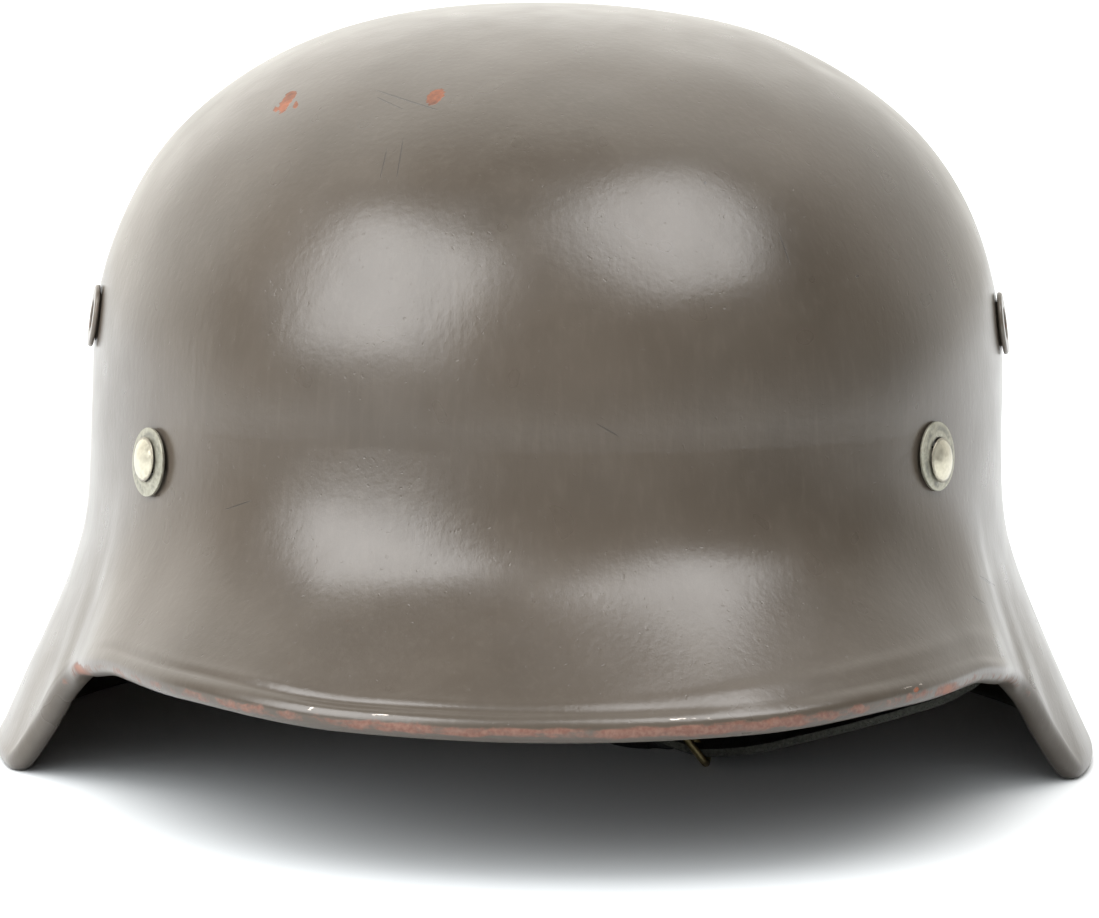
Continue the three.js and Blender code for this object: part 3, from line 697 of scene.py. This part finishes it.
def leather_material():
    s = Shade("strap_leather")
    place = s.place()
    cells = s.node("ShaderNodeTexVoronoi", {"Vector": place, "Scale": 1.1}, feature="DISTANCE_TO_EDGE")
    creases = s.noise(place, 5.5, 5, 0.7, 0.6)
    fine = s.noise(place, 0.7, 3, 0.6)
    edge = s.steps(s.attribute("cut_edge"), 0.45, 0.7)
    face = s.mix(s.line(creases, 0.35, 0.7), color(0.010, 0.0095, 0.009), color(0.030, 0.028, 0.026))
    side = s.mix(s.line(fine, 0.3, 0.7), color(0.085, 0.088, 0.074), color(0.19, 0.195, 0.165))
    s.put("Base Color", s.mix(edge, face, side))
    rough = s.plus(s.line(creases, 0.3, 0.7, 0.4, 0.58), s.times(edge, 0.3))
    s.put("Roughness", rough)
    grain = s.steps(cells.outputs["Distance"], 0.0, 0.16)
    height = s.plus(s.times(grain, 0.6), s.times(creases, 1.2))
    height = s.plus(height, s.times(s.times(fine, edge), 1.5))
    s.put("Normal", s.bump(height, 0.14))
    return s.material


def brass_material():
    s = Shade("buckle_brass")
    place = s.place()
    fine = s.noise(place, 1.4, 4, 0.6)
    tarnish = s.steps(s.noise(place, 3.5, 4, 0.65, 0.4), 0.4, 0.66)
    s.put("Base Color", s.mix(tarnish, color(0.50, 0.41, 0.21), color(0.22, 0.175, 0.09)))
    s.put("Metallic", 1.0)
    s.put("Roughness", s.line(fine, 0.2, 0.8, 0.28, 0.52))
    s.put("Normal", s.bump(fine, 0.07))
    return s.material


# Shell

def shell_angles():
    half = []
    for start, end, count in COLUMN_BANDS:
        half.extend(np.linspace(start, end, count, endpoint=False))
    return np.array(half + [180.0] + [-a for a in half[:0:-1]])


def bead_rings(angles):
    """Rings of the rolled rim from the edge of the outer skin round to the inner skin."""
    edge = rim_value(angles, EDGE)
    out = outer_normal(angles, edge)
    step = 0.2
    along = unit(
        outer_point(angles + step, rim_value(angles + step, EDGE))
        - outer_point(angles - step, rim_value(angles - step, EDGE))
    )
    down = np.cross(along, out)
    down *= np.where(down[:, 2:] > 0, -1, 1)
    centre = outer_point(angles, edge) - out * BEAD_RADIUS
    closing = 360 - math.degrees(math.acos((BEAD_RADIUS - SHEET) / BEAD_RADIUS))
    rings = []
    for turn in np.radians(np.linspace(0, closing, BEAD_ROWS + 1)[1:]):
        ring = centre + BEAD_RADIUS * (math.cos(turn) * out + math.sin(turn) * down)
        ring[:, 2] = np.maximum(ring[:, 2], 0)
        rings.append(ring)
    return rings


def shell_rows(angles):
    edge = rim_value(angles, EDGE)
    rows = []
    heights = [np.full_like(angles, dome_height(i / DOME_ROWS)) for i in range(1, DOME_ROWS + 1)]
    for i in range(1, SKIRT_ROWS + 1):
        share = i / SKIRT_ROWS
        heights.append(WALL_HEIGHT + (edge - WALL_HEIGHT) * share * (1.45 - 0.45 * share))
    for z in heights:
        points = outer_point(angles, z)
        lift = relief(points, angles, z) * np.clip((z - edge) / 1.2, 0, 1)
        rows.append(points + outer_normal(angles, z) * lift[:, None])
    rings = bead_rings(angles)
    rows.extend(rings)
    inner_end = rings[-1][:, 2] + 1.5 * SHEET
    inner = [inner_end + (WALL_HEIGHT - inner_end) * i / INNER_ROWS for i in range(INNER_ROWS)]
    inner += [np.full_like(angles, dome_height(i / INNER_ROWS)) for i in range(INNER_ROWS, 0, -1)]
    for z in inner:
        rows.append(outer_point(angles, z) - outer_normal(angles, z) * SHEET)
    return rows


def rivet_seats():
    """Name, place of the rivet, place of its washer, and lift of the washer above the sheet."""
    rows = [
        ("left", RIVET_ANGLE - RIVET_OFFSET, RIVET_HEIGHT + RIVET_UNEVEN, -0.1, 0.9),
        ("right", -RIVET_ANGLE - RIVET_OFFSET, RIVET_HEIGHT - RIVET_UNEVEN, 0.1, -0.65),
        ("rear", 180.0, RIVET_HEIGHT, 0.0, -0.9),
    ]
    for name, angle, height, along, up in rows:
        place = seat(angle, height)
        washer_place = seat(angle, height, along * WASHER_SLIP, up * WASHER_SLIP)
        yield name, place, washer_place, OUTER_GAP + seat_rise(place, WASHER_RADIUS + WASHER_SLIP)


def build_shell(material):
    angles = shell_angles()
    rows = shell_rows(angles)
    count = len(angles)
    poles = np.array([[0, 0, CROWN_HEIGHT], [0, 0, CROWN_HEIGHT - SHEET]], float)
    points = np.concatenate(rows + [poles])
    top = len(points) - 2
    last = (len(rows) - 1) * count
    faces = []
    for j in range(count):
        k = (j + 1) % count
        faces.append([top, j, k])
        faces.append([top + 1, last + k, last + j])
        for i in range(len(rows) - 1):
            a = i * count
            faces.append([a + j, a + count + j, a + count + k, a + k])
    piece = mesh_object("helmet_shell", points, faces, material)
    reach = 10 * SHEET
    tools = [drill(place, RIVET_SHANK + BORE_GAP, reach) for _, place, _, _ in rivet_seats()]
    for side in (1, -1):
        tools.append(drill(seat(side * VENT_ANGLE, VENT_HEIGHT), VENT_TUBE + BORE_GAP, reach))
    cut(piece, tools)
    weigh_shell(piece)
    return piece


def shell_points(piece):
    flat = np.empty(len(piece.data.vertices) * 3)
    piece.data.vertices.foreach_get("co", flat)
    return flat.reshape(-1, 3) / MM


# Rust along the underside of the visor's bead: how far below the edge its band lies, how far the band
# fades, its level, peaks given by X, width and amount, and its level along the rest of the rim
RUST_BELOW = 2.6
RUST_BAND = 1.5
RUST_LEVEL = 0.44
RUST_PEAKS = [(34, 34, 0.26), (-25, 30, 0.12)]
RUST_REAR = 0.08

# Rust spots at both notches: X, height, flattening, size and amount
RUST_SPOTS = [(-96.5, 27.5, 1.8, 2.8, 0.65), (80, 31.5, 1, 1.7, 0.6)]

# Crest of the bead rubbed down to the steel: how far below the edge it lies, its half width, the most
# rubbed places given by X and width, and how bare the visor is at least, how much more so in those
# places, and how bare the rest of the rim is
CREST_BELOW = 0.6
CREST_WIDTH = 0.42
RUBBED = [(-36, 16), (28, 11), (70, 5), (-8, 4)]
BARE_LEVEL = 0.16
BARE_PEAK = 0.42
BARE_REAR = 0.1

# Angle of the notches, where the visor's wear ends
FRONT_END = 62


def weigh_shell(piece):
    """Where the rim is rusty or rubbed bright, and which side of the sheet is the inside."""
    p = shell_points(piece)
    angle = np.degrees(np.arctan2(p[:, 0], -p[:, 1]))
    r = np.hypot(p[:, 0], p[:, 1])
    edge = rim_value(angle, EDGE)
    above = p[:, 2] - edge
    climb = 0.02
    z = np.clip(p[:, 2], edge + climb, CROWN_HEIGHT - 0.01)
    reach = bowl_radius(angle, z)
    slope = (reach - bowl_radius(angle, z - climb)) / climb
    inside = ((reach - r) / np.sqrt(1 + slope ** 2) > 0.6 * SHEET) & (above > -1)
    front = np.abs(angle) < FRONT_END
    x = p[:, 0]
    band = np.clip(1.4 - np.abs(above + RUST_BELOW) / RUST_BAND, 0, 1)
    strength = np.full_like(x, RUST_LEVEL)
    for middle, width, amount in RUST_PEAKS:
        strength += amount * bump_shape(x, middle, width)
    wear = band * np.where(front, strength, RUST_REAR)
    for middle, height, squash, size, amount in RUST_SPOTS:
        distance = np.hypot(x - middle, (p[:, 2] - height) * squash)
        wear += amount * front * bump_shape(distance, 0, size)
    crest = bump_shape(above, -CREST_BELOW, CREST_WIDTH)
    rubbed = np.zeros_like(x)
    for middle, width in RUBBED:
        rubbed += bump_shape(x, middle, width)
    bare = crest * np.where(front, BARE_LEVEL + BARE_PEAK * np.clip(rubbed, 0, 1), BARE_REAR)
    set_attribute(piece, "rim_wear", np.where(inside, 0.25, wear))
    set_attribute(piece, "rim_bare", np.where(inside, 0, bare))
    set_attribute(piece, "inside", inside)


# Fittings

def build_round(name, profile, place, material, wear):
    points, faces = turned(profile)
    piece = mesh_object(name, placed(points, place), faces, material)
    set_attribute(piece, "edge_weight", [wear(math.hypot(x, y), z) for x, y, z in points])
    return piece


def washer_profile(lift):
    bore = RIVET_SHANK + WASHER_SLIP + BORE_GAP
    back = lift + WASHER_DISH
    low = back - WASHER_DISH
    top = back + WASHER_THICKNESS
    soft = 0.3 * WASHER_THICKNESS
    rim = arc(WASHER_RADIUS - soft, low + soft, soft, -90, 0, 4)
    rim += arc(WASHER_RADIUS - soft, low + WASHER_THICKNESS - soft, soft, 0, 90, 5)
    shoulder = [(WASHER_RADIUS - 1.4, low + WASHER_THICKNESS + 0.09), (WASHER_RADIUS - 2.2, top - 0.03)]
    return [(bore, back)] + rim + shoulder + [(bore + 0.25, top), (bore, top - 0.2), (bore, back)]


def rivet_profile(lift):
    """Clenched tail inside, shank, and domed head on the washer."""
    head = lift + WASHER_DISH + WASHER_THICKNESS + OUTER_GAP
    dome_radius = (RIVET_HEAD ** 2 + RIVET_HEAD_HEIGHT ** 2) / (2 * RIVET_HEAD_HEIGHT)
    dome_centre = head + RIVET_HEAD_HEIGHT - dome_radius
    start = math.degrees(math.asin((head - dome_centre) / dome_radius))
    tail = -SHEET - INNER_GAP
    tail_radius = 0.9 * RIVET_HEAD
    dome = arc(0, dome_centre, dome_radius, start + 3, 90, 12)[:-1]
    foot = [(RIVET_SHANK, head), (RIVET_HEAD - 0.25, head), (RIVET_HEAD, head + 0.12)]
    low = tail - RIVET_TAIL
    back = [(0, low), (tail_radius - 0.4, low), (tail_radius, tail - 0.6 * RIVET_TAIL)]
    back += [(tail_radius, tail), (RIVET_SHANK, tail)]
    return back + foot + dome + [(0, head + RIVET_HEAD_HEIGHT)]


def vent_profile():
    """Tube with a rolled flange outside and a clenched flange behind the lug."""
    flange = OUTER_GAP
    roll = 0.6 * VENT_FLANGE_HEIGHT
    crest = flange + VENT_FLANGE_HEIGHT
    span = VENT_TAIL ** 2 / (2 * BOWL_HALF_WIDTH)
    tail = -SHEET - 2 * INNER_GAP - LUG_THICKNESS - span
    lip = 0.5 * roll
    return (
        [(VENT_TUBE, tail), (VENT_TUBE, flange)]
        + [(VENT_FLANGE - 0.2, flange), (VENT_FLANGE, flange + 0.2)]
        + arc(VENT_FLANGE - roll, crest - roll, roll, 0, 90, 8)
        + arc(VENT_BORE + lip, crest - lip, lip, 90, 180, 6)
        + [(VENT_BORE, tail - 0.5 * VENT_TAIL_THICKNESS)]
        + arc(VENT_BORE + 0.4, tail - VENT_TAIL_THICKNESS + 0.4, 0.4, 180, 270, 3)
        + [(VENT_TAIL - 0.3, tail - VENT_TAIL_THICKNESS), (VENT_TAIL, tail - VENT_TAIL_THICKNESS + 0.3)]
        + [(VENT_TAIL, tail), (VENT_TUBE, tail)]
    )


def build_fittings(washer, rivet, vent):
    for name, place, washer_place, lift in rivet_seats():
        ring = build_round(
            f"washer_{name}_fine", washer_profile(lift), washer_place, washer,
            lambda r, z: bump_shape(r, WASHER_RADIUS, 0.7) + bump_shape(r, RIVET_HEAD, 1.0),
        )
        finish_piece(ring, f"washer_{name}")
        head = build_round(
            f"rivet_{name}_fine", rivet_profile(lift), place, rivet,
            lambda r, z: bump_shape(r, RIVET_HEAD, 0.9),
        )
        finish_piece(head, f"rivet_{name}")
    for name, side in (("left", 1), ("right", -1)):
        eyelet = build_round(
            f"vent_{name}_fine", vent_profile(), seat(side * VENT_ANGLE, VENT_HEIGHT), vent,
            lambda r, z: 0.35 * bump_shape(r, VENT_FLANGE, 0.8) + 0.5 * bump_shape(r, VENT_BORE, 1.2),
        )
        finish_piece(eyelet, f"vent_{name}")


# Strap, with the lug bars' distance from the wall and the turn of the fold round them

LUG_STAND_OFF = 2 * STRAP_GAP + STRAP_THICKNESS + INNER_GAP + 0.3
LUG_TURN = STRAP_THICKNESS / 2 + STRAP_GAP + LUG_THICKNESS / 2
LUG_BAR_X = BOWL_HALF_WIDTH - SHEET - LUG_STAND_OFF - LUG_THICKNESS / 2


def strap_across(heading, lean):
    """Direction across the strap's face: level when the lean is 0 and upright when it is 90."""
    h = math.radians(heading)
    flat = math.cos(math.radians(lean))
    return np.array([-math.sin(h) * flat, math.cos(h) * flat, math.sin(math.radians(lean))])


def centripetal(before, start, end, after, share):
    """Point from start to end on a smooth curve whose knots are spaced by the roots of the distances."""
    pairs = ((before, start), (start, end), (end, after))
    first, middle, last = [max(np.linalg.norm(b - a) ** 0.5, 1e-4) for a, b in pairs]
    slope = (end - start) / middle
    leave = ((start - before) / first - (end - before) / (first + middle) + slope) * middle
    arrive = (slope - (after - start) / (middle + last) + (after - end) / last) * middle
    t = share
    value = (2 * t ** 3 - 3 * t ** 2 + 1) * start + (t ** 3 - 2 * t ** 2 + t) * leave
    return value + (3 * t ** 2 - 2 * t ** 3) * end + (t ** 3 - t ** 2) * arrive


def strap_steps(steps_per_row, fold_turns, tail_steps):
    """Middle line and edge direction of the strap, folded over the lug bars."""
    places = []
    for x, y, lift, heading, lean in STRAP_ROWS:
        across = strap_across(heading, lean)
        flatness = math.hypot(across[0], across[1])
        rest = FLOOR_GAP + (abs(across[2]) * STRAP_WIDTH + flatness * STRAP_THICKNESS) / 2
        height = rest + lift * LUG_BAR_HEIGHT
        places.append(np.array([x * BOWL_HALF_WIDTH, y * BOWL_HALF_WIDTH, height]))
    hang = LUG_BAR_HEIGHT - LUG_BAR - 2 * STRAP_THICKNESS
    ends = np.array([LUG_BAR_X - LUG_TURN, 0, hang]), np.array([LUG_TURN - LUG_BAR_X, 0, hang])
    line = [ends[0]] + places + [ends[1]]
    rows = [STRAP_ROWS[0]] + STRAP_ROWS + [STRAP_ROWS[-1]]
    steps = []
    for i in range(len(rows) - 1):
        before = line[i - 1] if i else 2 * line[0] - line[1]
        after = line[i + 2] if i + 2 < len(line) else 2 * line[-1] - line[-2]
        for k in range(steps_per_row):
            share = k / steps_per_row
            heading = rows[i][HEADING] + (rows[i + 1][HEADING] - rows[i][HEADING]) * share
            lean = rows[i][LEAN] + (rows[i + 1][LEAN] - rows[i][LEAN]) * share
            point = centripetal(before, line[i], line[i + 1], after, share)
            steps.append((point, strap_across(heading, lean)))
    steps.append((ends[1], strap_across(180, 0)))
    return lug_fold(1, fold_turns, tail_steps) + steps + lug_fold(-1, fold_turns, tail_steps)[::-1]


def lug_fold(side, fold_turns, tail_steps):
    """Steps of one strap end: up behind its lug bar and over it."""
    across = strap_across(180, 0)
    steps = []
    for i in range(tail_steps):
        drop = STRAP_TAIL * (1 - i / (tail_steps - 1))
        steps.append((np.array([side * (LUG_BAR_X + LUG_TURN), 0, LUG_BAR_HEIGHT - drop]), across))
    for i in range(1, fold_turns + 1):
        a = math.pi * i / fold_turns
        x = side * (LUG_BAR_X + LUG_TURN * math.cos(a))
        steps.append((np.array([x, 0, LUG_BAR_HEIGHT + LUG_TURN * math.sin(a)]), across))
    return steps


def strap_frame(steps, i):
    """Unit vectors along the strap, across it and out of its face."""
    travel = unit(steps[min(i + 1, len(steps) - 1)][0] - steps[max(i - 1, 0)][0])
    across = steps[i][1]
    edge = unit(across - travel * (across @ travel))
    return travel, edge, np.cross(edge, travel)


def strap_section():
    """Rounded rectangle with points along its faces: [across, through] in millimetres."""
    half = STRAP_WIDTH / 2
    thick = STRAP_THICKNESS / 2
    soft = 0.3
    faces = np.linspace(-half + soft, half - soft, 9)
    top = [(w, thick) for w in faces]
    bottom = [(w, -thick) for w in faces[::-1]]
    right = arc(half - soft, thick - soft, soft, 90, 0, 4)[1:]
    right += arc(half - soft, soft - thick, soft, 0, -90, 4)[:-1]
    left = [(-w, -t) for w, t in right]
    return top + right + bottom + left


def build_strap(material):
    steps = strap_steps(STRAP_STEPS, FOLD_STEPS, TAIL_STEPS)
    section = strap_section()
    sides = len(section)
    points = []
    cut_edge = []
    for i, (place, _) in enumerate(steps):
        _, edge, face = strap_frame(steps, i)
        for across, through in section:
            points.append(place + edge * across + face * through)
            cut_edge.append(np.clip((abs(across) - STRAP_WIDTH / 2 + 0.35) / 0.3, 0, 1))
    faces = []
    for i in range(len(steps) - 1):
        for j in range(sides):
            k = (j + 1) % sides
            faces.append([i * sides + j, i * sides + k, (i + 1) * sides + k, (i + 1) * sides + j])
    last = (len(steps) - 1) * sides
    faces.append(list(range(sides))[::-1])
    faces.append([last + j for j in range(sides)])
    piece = mesh_object("strap", points, faces, material)
    set_attribute(piece, "cut_edge", cut_edge)
    return piece


def buckle_place():
    """Placement of the buckle: +X across the strap and +Z along the leaning frame.

    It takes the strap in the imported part's coarser steps, so that the buckle leans as it does there.
    """
    per_row, fold, tail = 2, 6, 3
    steps = strap_steps(per_row, fold, tail)
    i = tail + fold + per_row * (BUCKLE_ROW + 1)
    travel, edge, face = strap_frame(steps, i)
    up = face if face[2] > 0 else -face
    lean = math.radians(BUCKLE_LEAN)
    prong = travel * math.cos(lean) + up * math.sin(lean)
    place = np.eye(4)
    place[:3, 0] = edge
    place[:3, 1] = np.cross(prong, edge)
    place[:3, 2] = prong
    place[:3, 3] = steps[i][0]
    return place


def wire_loop(path, radius):
    """Points and faces of a closed loop of round wire along points in the X-Z plane."""
    path = np.asarray(path, float)
    travel = unit(np.roll(path, -1, 0) - np.roll(path, 1, 0))
    side = np.array([0.0, 1.0, 0.0])
    points = []
    for place, heading in zip(path, travel):
        across = unit(np.cross(heading, side))
        for a in np.linspace(0, 2 * math.pi, WIRE_STEPS, endpoint=False):
            points.append(place + radius * (math.cos(a) * side + math.sin(a) * across))
    faces = []
    for i in range(len(path)):
        this = i * WIRE_STEPS
        after = (i + 1) % len(path) * WIRE_STEPS
        for j in range(WIRE_STEPS):
            k = (j + 1) % WIRE_STEPS
            faces.append([this + j, this + k, after + k, after + j])
    return np.array(points), faces


def build_buckle(material):
    half = STRAP_WIDTH / 2 + 2 * STRAP_GAP + BUCKLE_WIRE / 2
    low = -(STRAP_THICKNESS / 2 + STRAP_GAP + BUCKLE_WIRE / 2) / math.sin(math.radians(BUCKLE_LEAN))
    high = low + BUCKLE_SPAN
    bend = 1.1
    corners = [
        (half - bend, low + bend, -90),
        (half - bend, high - bend, 0),
        (bend - half, high - bend, 90),
        (bend - half, low + bend, 180),
    ]
    path = []
    for x, z, start in corners:
        path += [(px, 0.0, pz) for px, pz in arc(x, z, bend, start, start + 90, 8)]
    points, faces = wire_loop(path, BUCKLE_WIRE / 2)
    pin = [(0, low - 0.5), (PRONG_RADIUS * 0.8, low - 0.35), (PRONG_RADIUS, low)]
    pin += [(PRONG_RADIUS, high), (PRONG_RADIUS * 0.75, high + 0.35), (0, high + 0.5)]
    pin_points, pin_faces = turned(pin, 24)
    faces += [[c + len(points) for c in face] for face in pin_faces]
    points = placed(np.concatenate([points, pin_points]), buckle_place())
    return mesh_object("buckle_wire", points, faces, material)


# Assembly

def finish_piece(piece, node):
    """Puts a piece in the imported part's frame in place of one of its nodes."""
    piece.location = BOWL_SHIFT
    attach(piece, "root")
    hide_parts(node)


def build_helmet():
    finish_piece(build_shell(paint_material()), "shell")
    build_fittings(washer_material(), rivet_material(), vent_material())
    finish_piece(build_strap(leather_material()), "chin_strap")
    finish_piece(build_buckle(brass_material()), "buckle")
    lugs = lug_material()
    for name in ("strap_lug_left", "strap_lug_right"):
        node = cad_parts[name]
        node.data.materials.clear()
        node.data.materials.append(lugs)


def bowl_shift():
    """Where the bowl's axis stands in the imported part's frame, in metres."""
    angles = np.array([0.0, 180.0])
    rings = np.array(bead_rings(angles))
    edge = outer_point(angles, rim_value(angles, EDGE))
    front = min(rings[:, 0, 1].min(), edge[0, 1])
    back = max(rings[:, 1, 1].max(), edge[1, 1])
    low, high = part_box("shell")
    return Vector((0, (low.y + high.y) / 2 - (front + back) / 2 * MM, 0))


BOWL_SHIFT = bowl_shift()


# Stage

CAMERA_TARGET = Vector((0.0005, -0.0007, 0.0643))
CAMERA_DISTANCE = 1.15
CAMERA_ELEVATION = 7.0
CAMERA_AZIMUTH = -0.1
CAMERA_ROLL = 0.5
CAMERA_LENS = 172.8

STAGE_MIDDLE = Vector((0, 0, 0.08))

# Softboxes for the helmet: name, azimuth, elevation, distance, width, height and radiance
SOFTBOXES = [
    ("softbox_left", -50, 38, 1.6, 1.15, 1.4, 8.0),
    ("softbox_right", 51, 60, 1.6, 0.95, 0.9, 7.3),
]

# Suns for the floor, which they keep white with a short shadow: name, azimuth, elevation, energy,
# spread in degrees and tone
FLOOR_SUNS = [
    ("floor_light", -165, 66, 2.0, 100, (1, 1, 1)),
    ("floor_fill", -50, 42, 6.0, 125, (0.95, 1.0, 1.03)),
]

# Sky: its strength rises with Y, towards the back, and falls with X, and the camera sees it plain
SKY_TONE = color(1, 0.985, 0.93)
SKY_Y = (0.08, 0.5)
SKY_STRENGTH = (0.13, 1.9)
SKY_X = (-0.1, 0.8)
SKY_SIDES = (1.06, 0.52)
SKY_SEEN = 1.1
FLOOR_GREY = color(0.8, 0.8, 0.8)


def towards(azimuth, elevation):
    """Unit vector from the object; azimuth 0 is towards the visor's side and 90 towards +X."""
    a = math.radians(azimuth)
    e = math.radians(elevation)
    return Vector((math.sin(a) * math.cos(e), -math.cos(a) * math.cos(e), math.sin(e)))


def build_camera():
    data = bpy.data.cameras.new("camera")
    data.lens = CAMERA_LENS
    data.sensor_width = 36
    data.clip_end = 100
    camera = bpy.data.objects.new("camera", data)
    bpy.context.scene.collection.objects.link(camera)
    back = towards(CAMERA_AZIMUTH, CAMERA_ELEVATION)
    camera.location = CAMERA_TARGET + back * CAMERA_DISTANCE
    roll = Quaternion((0, 0, 1), math.radians(CAMERA_ROLL))
    camera.rotation_mode = "QUATERNION"
    camera.rotation_quaternion = (-back).to_track_quat("-Z", "Y") @ roll
    bpy.context.scene.camera = camera


def add_light(data, azimuth, elevation):
    light = bpy.data.objects.new(data.name, data)
    bpy.context.scene.collection.objects.link(light)
    light.rotation_mode = "QUATERNION"
    light.rotation_quaternion = towards(azimuth, elevation).to_track_quat("Z", "Y")
    return light


def softbox(name, azimuth, elevation, distance, width, height, radiance):
    data = bpy.data.lights.new(name, "AREA")
    data.shape = "RECTANGLE"
    data.size = width
    data.size_y = height
    data.energy = radiance * math.pi * width * height
    light = add_light(data, azimuth, elevation)
    light.location = STAGE_MIDDLE + towards(azimuth, elevation) * distance
    light.visible_camera = False
    return light


def broad_sun(name, azimuth, elevation, energy, spread, tone):
    data = bpy.data.lights.new(name, "SUN")
    data.energy = energy
    data.angle = math.radians(spread)
    data.color = tone
    return add_light(data, azimuth, elevation)


def link_light(light, floor, state):
    """Lets a light fall on the floor alone (INCLUDE) or on everything but the floor (EXCLUDE)."""
    group = bpy.data.collections.new(light.name + "_receivers")
    group.objects.link(floor)
    light.light_linking.receiver_collection = group
    group.collection_objects[0].light_linking.link_state = state


def build_world():
    world = bpy.data.worlds.new("studio")
    bpy.context.scene.world = world
    world.use_nodes = True
    w = Nodes(world.node_tree)
    heading = w.node("ShaderNodeTexCoord").outputs["Generated"]
    axes = w.node("ShaderNodeSeparateXYZ", {0: heading}).outputs
    back = w.steps(axes["Y"], *SKY_Y, *SKY_STRENGTH)
    sides = w.steps(axes["X"], *SKY_X, *SKY_SIDES)
    strength = w.times(back, sides)
    camera_ray = w.node("ShaderNodeLightPath").outputs["Is Camera Ray"]
    seen = w.node("ShaderNodeMix", {0: camera_ray, 2: strength, 3: SKY_SEEN}, data_type="FLOAT")
    background = w.tree.nodes["Background"]
    w.feed(background.inputs["Strength"], seen.outputs[0])
    w.feed(background.inputs["Color"], SKY_TONE)


def build_floor():
    s = Shade("studio_floor")
    s.put("Base Color", FLOOR_GREY)
    s.put("Roughness", 0.6)
    s.put("Specular IOR Level", 0.2)
    half = 6000
    corners = [(-half, -half, 0), (half, -half, 0), (half, half, 0), (-half, half, 0)]
    floor = mesh_object("floor", corners, [[0, 1, 2, 3]], s.material, smooth=False)
    return floor


def build_stage():
    build_world()
    floor = build_floor()
    for row in SOFTBOXES:
        link_light(softbox(*row), floor, "EXCLUDE")
    for row in FLOOR_SUNS:
        link_light(broad_sun(*row), floor, "INCLUDE")


build_helmet()
build_camera()
build_stage()
bpy.context.scene.view_settings.view_transform = "Standard"
